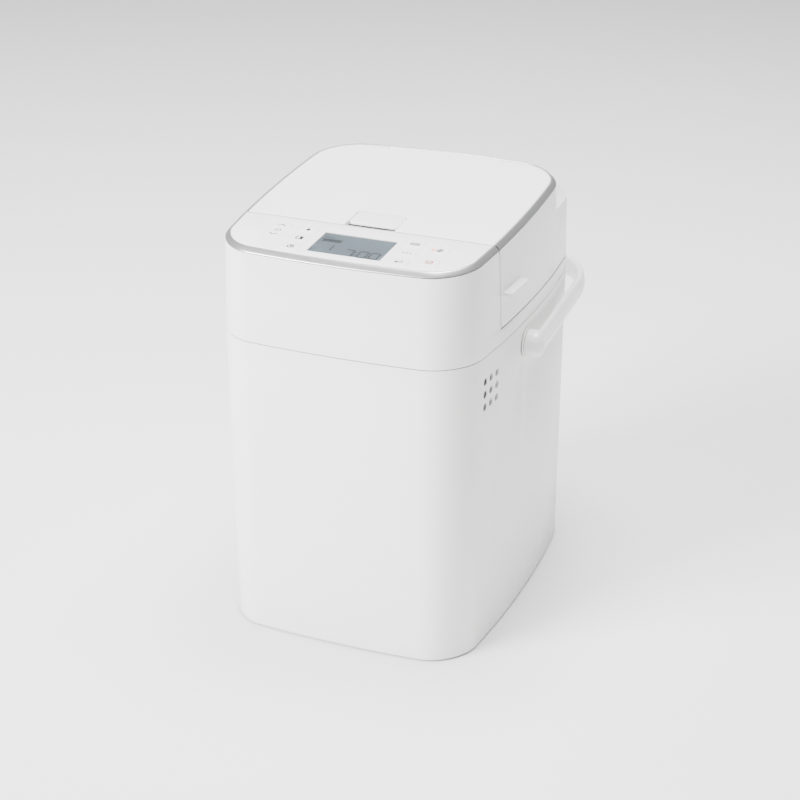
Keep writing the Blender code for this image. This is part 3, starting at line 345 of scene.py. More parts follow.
def makeFinish(s):
    # light and dark are the two ends of the colour, patch and grain are sizes in millimetres
    material = bpy.data.materials.new(s["name"])
    material.use_nodes = True
    tree = material.node_tree
    shader = tree.nodes["Principled BSDF"]
    place = addNode(tree, "ShaderNodeTexCoord")
    stretch = addNode(tree, "ShaderNodeMapping", {"Scale": s.get("stretch", (1, 1, 1))},
                      {"Vector": place.outputs["Object"]})
    patch = addNode(tree, "ShaderNodeTexNoise", {"Scale": 1 / (s["patch"] * mm), "Detail": 3.0},
                    {"Vector": stretch.outputs["Vector"]})
    grain = addNode(tree, "ShaderNodeTexNoise", {"Scale": 1 / (s["grain"] * mm), "Detail": 2.0},
                    {"Vector": stretch.outputs["Vector"]})
    blendColour = addNode(tree, "ShaderNodeMix", {"data_type": "RGBA"})
    # a Mix node's colours are its sockets 6 and 7, and come out of socket 2
    blendColour.inputs[6].default_value = toLinear(s["dark"])
    blendColour.inputs[7].default_value = toLinear(s["light"])
    tree.links.new(patch.outputs["Fac"], blendColour.inputs[0])
    tree.links.new(blendColour.outputs[2], shader.inputs["Base Color"])
    rough = addNode(tree, "ShaderNodeMapRange", {"To Min": s["rough"][0], "To Max": s["rough"][1],
                    "From Min": 0.3, "From Max": 0.7}, {"Value": grain.outputs["Fac"]})
    tree.links.new(rough.outputs["Result"], shader.inputs["Roughness"])
    bump = addNode(tree, "ShaderNodeBump", {"Strength": s["bump"], "Distance": s["depth"] * mm},
                   {"Height": grain.outputs["Fac"]})
    tree.links.new(bump.outputs["Normal"], shader.inputs["Normal"])
    shader.inputs["Metallic"].default_value = s.get("metallic", 0.0)
    shader.inputs["IOR"].default_value = s.get("ior", 1.5)
    shader.inputs["Coat Weight"].default_value = s.get("coat", 0.0)
    shader.inputs["Coat Roughness"].default_value = 0.05
    shader.inputs["Transmission Weight"].default_value = s.get("clear", 0.0)
    if "glow" in s:
        shader.inputs["Emission Color"].default_value = toLinear(s["light"])
        shader.inputs["Emission Strength"].default_value = s["glow"]
    return material


finishes = {
    # polished ABS from a mirror-finish mould: clean white, sharp highlights, a faint flow unevenness
    "case": {"name": "polished_white_abs", "light": "#f4f4f3", "dark": "#eeeeed",
             "patch": 60, "grain": 9, "rough": (0.16, 0.22), "bump": 0.04, "depth": 0.03, "ior": 1.53},
    # the flat tops are a matt-varnished sheet: the same white, with a wide soft sheen
    "top": {"name": "satin_white_sheet", "light": "#f5f5f5", "dark": "#efefef",
            "patch": 40, "grain": 0.5, "rough": (0.34, 0.42), "bump": 0.06, "depth": 0.01, "ior": 1.5},
    # vacuum-metallised ABS with a satin lacquer: silver grey, soft stretched highlights
    "trim": {"name": "satin_metallised_trim", "light": "#c9c9ca", "dark": "#b9b9bb",
             "patch": 20, "grain": 0.6, "rough": (0.28, 0.36), "bump": 0.05, "depth": 0.01,
             "metallic": 0.85},
    # polypropylene base parts: mid grey with a fine spark-eroded grain
    "base": {"name": "grained_grey_polypropylene", "light": "#8b8d90", "dark": "#808285",
             "patch": 30, "grain": 0.7, "rough": (0.5, 0.62), "bump": 0.3, "depth": 0.05, "ior": 1.49},
    # moulded rubber: near black and dull, with a dusty grain
    "rubber": {"name": "moulded_black_rubber", "light": "#2b2b2b", "dark": "#202020",
               "patch": 8, "grain": 0.5, "rough": (0.7, 0.85), "bump": 0.3, "depth": 0.05, "ior": 1.52},
    # closed-cell foam tape: flat near black that swallows light in the joints
    # painted shadow: a flat near-black sheet laid in the joints and under the latch's lip, where there is only
    # shade
    "jointShade": {"name": "painted_joint_shadow", "light": "#1d1d1e", "dark": "#121213",
             "patch": 2, "grain": 0.3, "rough": (0.85, 0.95), "bump": 0.3, "depth": 0.05},
    # painted shade: a pale grey matt floor that stands in for the shade in the white scoop in front of the
    # latch
    "well": {"name": "painted_scoop_shade_grey", "light": "#c2c3c4", "dark": "#babbbc",
             "patch": 15, "grain": 0.5, "rough": (0.45, 0.55), "bump": 0.2, "depth": 0.03},
    # silicone seal: grey, slightly greasy sheen
    "silicone": {"name": "grey_silicone_rubber", "light": "#a9aaa9", "dark": "#9a9b9a",
                 "patch": 12, "grain": 0.8, "rough": (0.42, 0.55), "bump": 0.15, "depth": 0.03,
                 "ior": 1.43},
    # reflective liquid crystal glass: blue-grey, nearly matt polariser
    "lcd": {"name": "liquid_crystal_polariser", "light": "#74848e", "dark": "#6a7984",
            "patch": 25, "grain": 0.4, "rough": (0.38, 0.46), "bump": 0.02, "depth": 0.005, "ior": 1.5},
    # switched-on liquid crystal: blue-black, as matt as the glass round it
    "segments": {"name": "dark_crystal_segments", "light": "#0e151c", "dark": "#0a1016",
                 "patch": 10, "grain": 0.4, "rough": (0.4, 0.5), "bump": 0.02, "depth": 0.005},
    # screen-printed ink: dark grey, a little rough at its edges
    "ink": {"name": "screen_printed_grey_ink", "light": "#161718", "dark": "#101112",
            "patch": 2, "grain": 0.15, "rough": (0.45, 0.6), "bump": 0.1, "depth": 0.01},
    # the same ink in a deep red
    "redInk": {"name": "screen_printed_red_ink", "light": "#a81c22", "dark": "#9a161c",
               "patch": 2, "grain": 0.15, "rough": (0.45, 0.6), "bump": 0.1, "depth": 0.01},
    # red diffusing lens lit from below
    "lens": {"name": "lit_red_polycarbonate", "light": "#ff4a4a", "dark": "#f23c3e",
             "patch": 1, "grain": 0.2, "rough": (0.2, 0.3), "bump": 0.05, "depth": 0.01, "glow": 1.6,
             "ior": 1.58},
    # drawn stainless sheet: fine vertical brushing
    "stainless": {"name": "brushed_stainless_sheet", "light": "#c3c4c6", "dark": "#aeb0b2",
                  "patch": 6, "grain": 0.8, "rough": (0.24, 0.4), "bump": 0.15, "depth": 0.02,
                  "metallic": 1.0, "stretch": (1, 1, 0.05)},
    # zinc plated pressed steel: pale, patchy bright and dull
    "zinc": {"name": "zinc_plated_steel", "light": "#bfc2c6", "dark": "#9ea3a8",
             "patch": 9, "grain": 2.5, "rough": (0.3, 0.52), "bump": 0.1, "depth": 0.02, "metallic": 1.0},
    # cold-rolled aluminium sheet: rolling lines along the depth
    "sheet": {"name": "rolled_aluminium_sheet", "light": "#d4d5d6", "dark": "#c2c3c5",
              "patch": 8, "grain": 0.9, "rough": (0.28, 0.42), "bump": 0.12, "depth": 0.02,
              "metallic": 1.0, "stretch": (1, 0.05, 1)},
    # fluoropolymer spray coat: near black, fine orange peel and pale flecks
    "nonstick": {"name": "sprayed_nonstick_coating", "light": "#3c3b3d", "dark": "#2b2a2c",
                 "patch": 1.2, "grain": 0.9, "rough": (0.32, 0.46), "bump": 0.25, "depth": 0.03,
                 "metallic": 0.2},
    # moulded polypropylene: dark grey, a soft even sheen
    "dispenser": {"name": "dark_moulded_polypropylene", "light": "#4a4b4e", "dark": "#3f4043",
                  "patch": 20, "grain": 0.6, "rough": (0.4, 0.5), "bump": 0.15, "depth": 0.03},
    # oxidised heating tube: blue-brown film on steel
    "heater": {"name": "oxidised_heating_tube", "light": "#6f6a66", "dark": "#4e4c50",
               "patch": 12, "grain": 0.8, "rough": (0.4, 0.6), "bump": 0.15, "depth": 0.03,
               "metallic": 0.9},
    # sintered bronze bushes: warm brown metal with open pores
    "bronze": {"name": "sintered_bronze", "light": "#b08a55", "dark": "#936f40",
               "patch": 1.0, "grain": 0.3, "rough": (0.4, 0.58), "bump": 0.3, "depth": 0.03,
               "metallic": 1.0},
    # glass-filled nylon: charcoal, with fibres that dull the surface
    "pulley": {"name": "glass_filled_nylon", "light": "#2e2f31", "dark": "#232426",
               "patch": 10, "grain": 0.4, "rough": (0.45, 0.6), "bump": 0.2, "depth": 0.03},
    # fibreglass laminate under green solder mask: glossy over a faint weave
    "board": {"name": "solder_masked_laminate", "light": "#1f6b3a", "dark": "#175a2f",
              "patch": 5, "grain": 0.8, "rough": (0.3, 0.42), "bump": 0.2, "depth": 0.04, "coat": 0.3},
    # ground steel rods: bright, with fine lines round them
    "shaft": {"name": "ground_steel_shaft", "light": "#c8c9cb", "dark": "#b8b9bb",
              "patch": 3, "grain": 0.3, "rough": (0.16, 0.26), "bump": 0.08, "depth": 0.01,
              "metallic": 1.0, "stretch": (1, 1, 4)},
    # clear acrylic lens over the display: colourless, sharp reflections, a few fine wipe marks
    "window": {"name": "clear_acrylic_window", "light": "#ffffff", "dark": "#fbfcfc",
               "patch": 15, "grain": 2.0, "rough": (0.02, 0.05), "bump": 0.01, "depth": 0.005,
               "clear": 1.0, "ior": 1.49},
}
made = {key: makeFinish(settings) for key, settings in finishes.items()}
carried = {
    "base": ("base_plate", "cord_gland"),
    "rubber": ("foot_left_front", "foot_left_rear", "foot_right_front", "foot_right_rear", "drive_belt"),
    "silicone": ("lid_gasket",),
    "board": ("control_board", "power_board"),
    "sheet": ("inner_lid",),
    "nonstick": ("bread_pan", "kneading_blade"),
    "dispenser": ("dispenser_box", "dispenser_flap"),
    "zinc": ("dispenser_solenoid", "pan_mount", "drive_coupling", "motor", "chassis", "temperature_sensor"),
    "stainless": ("chamber_liner",),
    "shaft": ("flap_pin", "lid_hinge_pin_left", "lid_hinge_pin_right", "cover_hinge_pin_left",
              "cover_hinge_pin_right", "drive_shaft", "motor_pulley", "pan_shaft", "pan_bail"),
    "heater": ("heater_element",),
    "bronze": ("shaft_bearing", "pan_bushing"),
    "pulley": ("large_pulley",),
}
for key, names in carried.items():
    for name in names:
        nodes[name].data.materials.clear()
        nodes[name].data.materials.append(made[key])
print("finishes made and laid on the carried-over parts")


# hinge knuckles, and cuts that are the same on both sides

hinge = {"y": 145.5, "z": 262.0, "radius": 4.2, "steps": 24, "wallY": 137.7,
         "hanging": (-0.9, -10.0), "standing": (12.0, 0.9),  # where a knuckle's foot meets the wall
         "bore": 1.9, "middle": 42.0, "boreHalf": 20.0}


def knuckle(x, half, hangs):
    # a barrel round the pin, on a foot that reaches back to the wall
    h = hinge
    start = -60 if hangs else -180
    points = []
    for i in range(h["steps"] + 1):
        a = radians(start + 240 * i / h["steps"])
        points.append((h["y"] + h["radius"] * cos(a), h["z"] + h["radius"] * sin(a)))
    points += [(h["wallY"], h["z"] + up) for up in h["hanging" if hangs else "standing"]]
    return skin("knuckle", [[(x + s * half, y, z) for y, z in points] for s in (-1, 1)])


def pinBores():
    h = hinge
    starts = [(sx * h["middle"] - h["boreHalf"], h["y"], h["z"]) for sx in (-1, 1)]
    return together([drum(h["bore"], start, h["boreHalf"] * 2, "X", 20) for start in starts])


def bothBlocks(inner, outer, front, rear, low, high):
    blocks = []
    for sx in (-1, 1):
        near, far = sorted((sx * inner, sx * outer))
        blocks.append(brick((near, front, low), (far, rear, high)))
    return together(blocks)


def bothDrills(radius, start, length, y, z):
    return together([drum(radius, (sx * start, y, z), sx * length, "X") for sx in (-1, 1)])


# the case

pivot = {"y": -17.4, "z": 231.0, "radius": 4.4,  # the axis that the carrying handle turns on
         "flange": ((4.0, 102.0), (4.0, 110.2), (11.2, 110.2), (11.6, 110.5),
                    (11.6, 111.1), (11.3, 111.45), (4.0, 111.45), (4.0, 116.6))}
case = {"edge": 0.45,
        "ventRadius": 3.2, "ventPitch": 10.4, "ventY": -85.9, "ventZ": 218.6,
        "ventStart": 96.0, "ventDrill": 20.0,  # the drills start inside the wall
        "pivotStart": 95.0, "pivotDrill": 30.0,
        "glandRadius": 7.4, "glandAt": (55.0, 120.0, 34.0), "glandDrill": 40.0}
# the dark plate that paints the shade behind the vents
ventShade = {"reach": 15.5, "near": 103.6, "far": 104.4, "edge": 0.3}


def makeCase():
    c, w = case, outline["wall"]
    low, top = heights["bottom"], heights["caseTop"]
    down = lowerDraft(low)
    rings = [ring(down, low), ring(0.0, top), ring(w, top), ring(w + down, low)]
    shell = soften(skin("caseShell", rings, closed=True), c["edge"])
    offsets = [c["ventPitch"] * i for i in (-1, 0, 1)]
    vents = [drum(c["ventRadius"], (c["ventStart"], c["ventY"] + dy, c["ventZ"] + dz), c["ventDrill"], "X")
             for dy in offsets for dz in offsets]
    carve(shell, together(vents))
    carve(shell, bothDrills(pivot["radius"], c["pivotStart"], c["pivotDrill"], pivot["y"], pivot["z"]))
    carve(shell, drum(c["glandRadius"], c["glandAt"], c["glandDrill"], "Y"))
    finishPiece(shell, "case_shell", made["case"], "machine", ["body_shell"])


def makeVentShadePlate():
    # painted shade: a dark plate stands a little way behind the vents so that they look dark inside
    b, y, z = ventShade, case["ventY"], case["ventZ"]
    low = (b["near"], y - b["reach"], z - b["reach"])
    high = (b["far"], y + b["reach"], z + b["reach"])
    finishPiece(soften(brick(low, high), b["edge"]), "vent_shade_plate", made["pulley"], "machine")


# the deck round the oven mouth and the control block in front of it

upper = {"edge": 0.4,
         "mouth": (79.0, 83.0, 22.0),  # half width, half depth and corner
         "windows": (((-29.25, -127.8), (34.75, -86.8)),  # under the display, then under the keys
                     ((-74.0, -130.0), (-32.0, -81.0)),
                     ((37.0, -130.0), (77.0, -81.0))),
         "windowZ": (300.0, 335.0),
         "knucklesX": (31.0, 53.0), "knuckleHalf": 3.8}


def makeUpperHousing():
    u, w, gap = upper, outline["wall"], lidLine["gap"]
    low, deck, under = heights["seam"] + 0.3, heights["deckTop"], heights["deckUnder"]
    back, baseBack = lidLine["top"] - gap, lineAt(deck) - gap
    rings = [
        slopeRing(w + rimInset, -w, rear="line", line=back - w),
        ring(w + draftAt(under), under, rear="line", line=baseBack - w),
        ring(w + draftAt(under), under),
        ring(w, low),
        ring(0.0, low),
        ring(draftAt(deck), deck),
        ring(draftAt(deck), deck, rear="line", line=baseBack),
        slopeRing(rimInset, 0.0, rear="line", line=back),
    ]
    housing = soften(skin("upperHousing", rings), u["edge"], 2, 50)
    halfX, halfY, corner = u["mouth"]
    mouth = [roundedRing(0, ovenY, z, halfX, halfY, corner, 12) for z in (deck - 6.0, deck + 3.0)]
    carve(housing, skin("mouth", mouth))
    floor, ceiling = u["windowZ"]
    carve(housing, together([brick((*near, floor), (*far, ceiling)) for near, far in u["windows"]]))
    for sx in (-1, 1):
        for x in u["knucklesX"]:
            weld(housing, knuckle(sx * x, u["knuckleHalf"], True))
    carve(housing, pinBores())
    finishPiece(housing, "control_housing", made["case"], "machine", ["upper_housing"])


# the trim round the tops: its section runs from the outer foot over the crown, as (inset, rise)
trimSection = ((0.2, 0.55), (0.25, 0.85), (0.55, 1.2), (3.3, 3.7), (3.7, 3.93),
               (4.1, 4.0), (4.5, 3.95), (4.6, 3.7), (4.6, 0.55))


def makeTrims():
    frontCount = outline["middleSteps"] + outline["arcSteps"] + 1
    bands = (("front_trim_band", lidLine["top"] - lidLine["gap"], "front_trim", "machine"),
             ("lid_trim_band", lidLine["top"] + lidLine["gap"], "lid_trim", "lid"))
    for name, line, node, body in bands:
        rails = []
        for extra, rise in trimSection:
            if body == "machine":
                half = halfPlan(rimInset + extra, "body", "line", line)[:frontCount]
                half.append((sideX(line, rimInset + extra), line))
                path = [(-x, y) for x, y in reversed(half)] + half
            else:
                half = halfPlan(rimInset + extra, "body", "raised", 0.0)[frontCount:]
                half.insert(0, (sideX(line, rimInset + extra), line))
                path = half + [(-x, y) for x, y in reversed(half)]
            rails.append([(x, y, rimZ(y, rise)) for x, y in path])
        sections = [[rail[i] for rail in rails] for i in range(len(rails[0]))]
        finishPiece(skin(name, sections), name, made["trim"], body, [node], 50)


# painted shade: flat near-black bands laid in the joints between the white mouldings, and a grey strip in the
# panel's groove, standing in for the shade in these gaps

gapShadows = {
    "case": {"insets": (0.4, 2.1), "rises": (-0.26, 0.26)},
    "deck": {"insets": (0.3, 2.4), "rises": (0.03, 0.55), "behind": 0.6},
    "trim": {"start": 0.5, "lidEnd": 4.7, "frontWidth": 5.4, "rises": (0.03, 0.3), "behind": 0.4},
    "joint": {"ahead": 0.72, "behind": 0.45, "foot": (0.6, 0.35), "waist": (-0.2, 0.35), "crown": (2.9, 2.6)},
    "groove": {"inset": 5.6, "ahead": 0.74, "behind": 0.4, "rises": (3.2, 3.8)},
}


def gapShadowRing(name, body, insets, levels, sloped, front, rear, line=0.0):
    outer, inner = insets
    low, high = levels
    maker = slopeRing if sloped else ring
    corners = ((outer, low), (outer, high), (inner, high), (inner, low))
    shadowBand = skin(name, [maker(inset, level, front, rear, line) for inset, level in corners], closed=True)
    finishPiece(shadowBand, name, made["jointShade"], body)


# each band paints the shadow in one gap between the mouldings
def makeGapShadows():
    seam, deck, top, gap = heights["seam"], heights["deckTop"], lidLine["top"], lidLine["gap"]
    s = gapShadows["case"]
    gapShadowRing("case_seam_shadow", "machine", s["insets"], [seam + up for up in s["rises"]], False, "body", "body")
    s = gapShadows["deck"]
    gapShadowRing("deck_shadow", "machine", s["insets"], [deck + up for up in s["rises"]], False, "lid", "body",
             lineAt(deck) + gap + s["behind"])
    s = gapShadows["trim"]
    start = rimInset + s["start"]
    gapShadowRing("lid_trim_shadow", "lid", (start, rimInset + s["lidEnd"]), s["rises"], True, "lid", "raised",
             top + gap + s["behind"])
    gapShadowRing("front_trim_shadow", "machine", (start, start + s["frontWidth"]), s["rises"], True, "body", "line",
             top - gap - s["behind"])
    s = gapShadows["joint"]
    levels = ((deck + s["foot"][0], s["foot"][1]), (rimZ(top, s["waist"][0]), s["waist"][1]),
              (rimZ(top, s["crown"][0]), s["crown"][1]))
    rows = []
    for z, pull in levels:
        x, y = sideX(lineAt(z), draftAt(z)) - pull, lineAt(z)
        front, rear = y - s["ahead"], y + s["behind"]
        rows.append([(-x, front, z), (x, front, z), (x, rear, z), (-x, rear, z)])
    finishPiece(skin("joint_shadow", rows), "joint_shadow", made["jointShade"], "machine")
    s = gapShadows["groove"]
    x, front, rear = sideX(top, rimInset + s["inset"]), top - s["ahead"], top + s["behind"]
    corners = ((-x, front), (x, front), (x, rear), (-x, rear))
    strip = [[(u, v, rimZ(v, rise)) for u, v in corners] for rise in s["rises"]]
    # the grey strip paints the shade in the groove between the panel and the cover
    finishPiece(skin("groove_shade_strip", strip), "groove_shade_strip", made["base"], "machine")


# controls: every layer is (rise over the slope, how far the outline draws in)

panel = {"inset": 5.0, "layers": ((2.4, 0.0), (3.75, 0.0), (3.93, 0.1), (4.0, 0.3)), "drill": (-2.0, 8.0)}
keys = {"size": (15.0, 11.0), "radius": 2.4, "play": 0.3,
        "layers": ((0.9, 0.0), (3.85, 0.0), (4.0, 0.05), (4.1, 0.25), (4.17, 0.7), (4.21, 1.5), (4.24, 2.6)),
        "lightHole": 1.5, "lightDrill": (-3.0, 12.0), "lensRise": 4.1,
        "lens": ((1.3, -2.4), (1.3, 0.0), (1.15, 0.2), (0.8, 0.36), (0.35, 0.44))}
display = {"at": (2.75, -107.3), "size": (58.5, 36.4), "hole": 1.0, "play": 0.6, "corner": 0.8,
           "face": 2.9, "faceLayers": ((-2.0, 0.0), (-0.1, 0.0), (0.0, 0.1)),
           "windowLayers": ((0.25, 0.0), (0.6, 0.0), (0.75, 0.15)),
           "digit": (6.6, 10.4, 1.6),  # width, height and stroke
           "digits": ((0.47, "acf"), (0.66, "abcefg"), (0.815, "abcefg")), "digitFoot": 0.93,
           "dots": ((0.612, 0.73), (0.612, 0.85)), "dot": 0.8,
           "mark": (0.265, 0.80), "bar": ((0.05, 0.40), (0.31, 0.27)), "dashes": (0.06, 0.10, 0.14),
           "dashRow": 0.19, "inkRise": 0.04, "inkThick": 0.06}


def middleOf(node):
    low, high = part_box(node)
    return ((low[0] + high[0]) / 2 / mm, (low[1] + high[1]) / 2 / mm - shiftY)


keyNames = [name for name in nodes if name.startswith("key_")]
keyAt = {name: middleOf(name) for name in keyNames}


def makePanel():
    line = lidLine["top"] - lidLine["gap"]
    inset = rimInset + panel["inset"]
    sheet = skin("controlPanel", [slopeRing(inset + pull, rise, rear="line", line=line - pull)
                                  for rise, pull in panel["layers"]])
    holes = [skin("hole", [padRing(display["at"], display["size"], rise, display["hole"])
                           for rise in panel["drill"]])]
    size = [side + keys["play"] for side in keys["size"]]
    corner = keys["radius"] + keys["play"] / 2
    for at in keyAt.values():
        holes.append(skin("hole", [padRing(at, size, rise, corner) for rise in panel["drill"]]))
    carve(sheet, together(holes))
    finishPiece(sheet, "panel_sheet", made["top"], "machine", ["control_panel"])


def makeStartLens(key):
    x, y = middleOf("start_led")
    below, length = keys["lightDrill"]
    carve(key, drum(keys["lightHole"], (x, y, rimZ(y, below)), length, "Z"))
    lens = turned("lens", keys["lens"], (x, y, rimZ(y, keys["lensRise"])), "Z", 28)
    finishPiece(lens, "start_lens", made["lens"], "machine", ["start_led"])


def makeKeys():
    for name in keyNames:
        key = skin(name, [padRing(keyAt[name], keys["size"], rise, keys["radius"], pull)
                          for rise, pull in keys["layers"]])
        if name == "key_start":
            makeStartLens(key)
        finishPiece(key, name + "_pad", made["top"], name, [name])


def bar(x0, y0, x1, y1, width):
    # one flat stroke of a printed sign
    along = Vector((x1 - x0, y1 - y0)).normalized() * width / 2
    side = Vector((-along.y, along.x))
    corners = [Vector((x0, y0)) - along - side, Vector((x1, y1)) + along - side,
               Vector((x1, y1)) + along + side, Vector((x0, y0)) - along + side]
    return [(c.x, c.y) for c in corners]


def loop(x, y, radius, width, count=24):
    strokes = []
    inner, outer = radius - width / 2, radius + width / 2
    for i in range(count):
        a, b = radians(360 * i / count), radians(360 * (i + 1) / count)
        strokes.append([(x + inner * cos(a), y + inner * sin(a)), (x + outer * cos(a), y + outer * sin(a)),
                        (x + outer * cos(b), y + outer * sin(b)), (x + inner * cos(b), y + inner * sin(b))])
    return strokes


def disc(x, y, radius, count=20):
    turns = [2 * pi * i / count for i in range(count)]
    return [[(x + radius * cos(a), y + radius * sin(a)) for a in turns]]


def layMarks(name, strokes, rise, thick, material, body):
    # prints a list of flat shapes on the slope, each a thin closed film
    films = []
    for shape in strokes:
        films.append(skin("film", [[(x, y, rimZ(y, rise + up)) for x, y in shape] for up in (0.0, thick)]))
    finishPiece(together(films), name, material, body, angle=30)


sign = {"stroke": 0.75, "grow": 1.3, "rise": 4.235, "thick": 0.05,
        "loafAt": (-62.6, -96.8), "loafHalf": (1.9, 1.3), "loafStroke": 0.7, "loafRise": 3.98}


def signs(x, y):
    t = sign["stroke"]
    return {
        "key_up": [bar(x - 2.2, y - 0.7, x, y + 0.9, t), bar(x, y + 0.9, x + 2.2, y - 0.7, t)],
        "key_down": [bar(x - 2.2, y + 0.7, x, y - 0.9, t), bar(x, y - 0.9, x + 2.2, y + 0.7, t)],
        "key_yeast": disc(x, y - 0.7, 1.25) + [[(x - 1.1, y - 0.2), (x + 1.1, y - 0.2), (x, y + 1.9)]],
        "key_crust": [bar(x - 2.0, y - 1.6, x + 2.0, y - 1.6, t), bar(x - 2.0, y + 1.6, x + 2.0, y + 1.6, t),
                      bar(x - 2.0, y - 1.6, x - 2.0, y + 1.6, t),
                      [(x + 0.2, y - 1.8), (x + 2.2, y - 1.8), (x + 2.2, y + 1.8), (x + 0.2, y + 1.8)]],
        "key_timer": loop(x, y, 1.8, t) + [bar(x, y, x, y + 1.1, t), bar(x, y, x + 0.9, y, t)],
        "key_menu": [bar(x - 2.6, y + dy, x + 2.6, y + dy, t) for dy in (-1.3, 0.0, 1.3)],
        "key_mix": disc(x - 2.2, y, 0.65) + disc(x, y, 0.65) + disc(x + 2.2, y, 0.65),
        "key_enter": [bar(x - 1.8, y - 0.5, x + 1.9, y - 0.5, t), bar(x + 1.9, y - 0.5, x + 1.9, y + 1.2, t),
                      bar(x - 1.8, y - 0.5, x - 0.8, y + 0.5, t), bar(x - 1.8, y - 0.5, x - 0.8, y - 1.5, t)],
        "key_start": [bar(x - 1.9, y, x, y + 1.7, t), bar(x, y + 1.7, x + 1.9, y, t),
                      bar(x + 1.9, y, x, y - 1.7, t), bar(x, y - 1.7, x - 1.9, y, t),
                      bar(x, y - 0.7, x, y + 0.7, t)],
        "key_stop": loop(x, y, 1.9, t) + [bar(x - 0.8, y, x + 0.8, y, t)],
    }


def makeSigns():
    grow = sign["grow"]
    for name, (x, y) in keyAt.items():
        ink = made["redInk"] if name == "key_stop" else made["ink"]
        shapes = [[(x + (u - x) * grow, y + (v - y) * grow) for u, v in shape] for shape in signs(x, y)[name]]
        layMarks(name + "_sign", shapes, sign["rise"], sign["thick"], ink, name)
    (x, y), (u, v), stroke = sign["loafAt"], sign["loafHalf"], sign["loafStroke"]
    sides = ((-u, -v, u, -v), (-u, v, u, v), (-u, -v, -u, v), (u, -v, u, v))
    loaf = [bar(x + a, y + b, x + c, y + d, stroke) for a, b, c, d in sides]
    layMarks("loaf_sign", loaf, sign["loafRise"], sign["thick"], made["ink"], "machine")


def digit(code, x, y, wide, tall, t):
    # seven strokes: top, upper left, upper right, middle, lower left, lower right, foot
    ends = {
        "a": (0, 1, 1, 1), "b": (0, 0.5, 0, 1), "c": (1, 0.5, 1, 1), "d": (0, 0.5, 1, 0.5),
        "e": (0, 0, 0, 0.5), "f": (1, 0, 1, 0.5), "g": (0, 0, 1, 0),
    }
    strokes = []
    for letter in code:
        u0, v0, u1, v1 = ends[letter]
        start, end = Vector((x + u0 * wide, y + v0 * tall)), Vector((x + u1 * wide, y + v1 * tall))
        along = (end - start).normalized() * (0.75 * t)
        start, end = start + along, end - along
        strokes.append(bar(start.x, start.y, end.x, end.y, t))
    return strokes


def makeDisplay():
    d = display
    width, depth = d["size"]
    left, rear = d["at"][0] - width / 2, d["at"][1] + depth / 2

    def spot(u, v):
        # a place on the display, as parts of its width and depth from its rear left corner
        return left + u * width, rear - v * depth

    strokes = []
    for u, code in d["digits"]:
        strokes += digit(code, *spot(u, d["digitFoot"]), *d["digit"])
    for place in d["dots"]:
        strokes += disc(*spot(*place), d["dot"])
    x, y = spot(*d["mark"])
    strokes.append(bar(x, y + 0.6, x, y + 9.0, 1.2))
    low, high = [spot(*corner) for corner in d["bar"]]
    strokes.append([(low[0], low[1]), (high[0], low[1]), (high[0], high[1]), (low[0], high[1])])
    for u in d["dashes"]:
        x, y = spot(u, d["dashRow"])
        strokes.append(bar(x, y, x + 1.2, y, 0.8))
    face = d["face"]
    layMarks("display_segments", strokes, face + d["inkRise"], d["inkThick"], made["segments"], "machine")
    pane = (width - d["play"], depth - d["play"])
    parts = (("display_face", d["faceLayers"], "lcd", "lcd_module"),
             ("display_window", d["windowLayers"], "window", "lcd_window"))
    for name, layers, finish, node in parts:
        sheet = skin(name, [padRing(d["at"], pane, face + up, d["corner"], pull) for up, pull in layers])
        finishPiece(sheet, name, made[finish], "machine", [node])


# the lid, its cover and the cover's latch

lid = {"edge": 0.5,
       "opening": (15.0, 45.0, 37.0, 6.0), "openingZ": (300.0, 345.0),  # middle, halves and corner
       "latchSlot": ((-7.0, -67.5, 310.0), (7.0, -57.5, 335.0)),
       "knuckleHalf": 6.9,
       "axisY": 91.5, "axisRise": 2.1,  # the line that the cover turns on
       "lugX": 40.0, "lugHalf": 3.5, "lugRadius": 1.5, "lugFoot": 3.3, "pin": 1.0, "pinHalf": 8.0,
       "wellHalf": 4.3, "wellFront": 3.0, "wellRear": 95.5, "wellZ": (318.0, 345.0),
       "dipHalf": 4.7, "dipFront": 0.7, "dipRise": -1.6, "dipTall": 6.0}
cover = {"inset": 5.0, "layers": ((0.5, 0.0), (2.95, 0.0), (3.4, 0.12), (3.75, 0.4), (3.94, 0.8), (4.0, 1.3)),
         "latchSlot": ((-6.0, -65.4, 315.0), (6.0, -59.4, 340.0)),
         "tailX": 49.4, "shoulder": 3.2, "shoulderGap": 0.8, "sideGap": 0.4,  # the narrow rear end
         "earFoot": -1.2, "cutX": 95.0, "cutLong": 15.0, "cutZ": (315.0, 350.0),
         "notchHalf": 4.6, "notchAhead": 2.8, "notchBehind": 12.0, "notchLow": 325.0, "notchRise": 3.72}
ledge = {"front": -66.0, "rear": -30.5, "reach": 7.0, "corner": 3.0, "level": 288.0, "sunk": 1.4,
         "layers": ((286.6, 1.3), (286.75, 0.6), (287.3, 0.0), (288.9, 0.0), (289.4, 0.35), (289.6, 1.1))}


def liftLedge(sx):
    g = ledge
    draft, r = draftAt(g["level"]), g["corner"]
    rings = []
    for z, pull in g["layers"]:
        points = [(sideX(y, draft) - g["sunk"], y) for y in (g["front"], g["rear"])]
        for y, start in ((g["rear"] - r, 90), (g["front"] + r, 0)):
            x = sideX(y, draft) + g["reach"] - r
            for i in range(9):
                a = radians(start - 90 * i / 8)
                points.append((x + (r - pull) * cos(a), y + (r - pull) * sin(a)))
        rings.append([(sx * x, y, z) for x, y in points])
    return skin("liftLedge", rings)


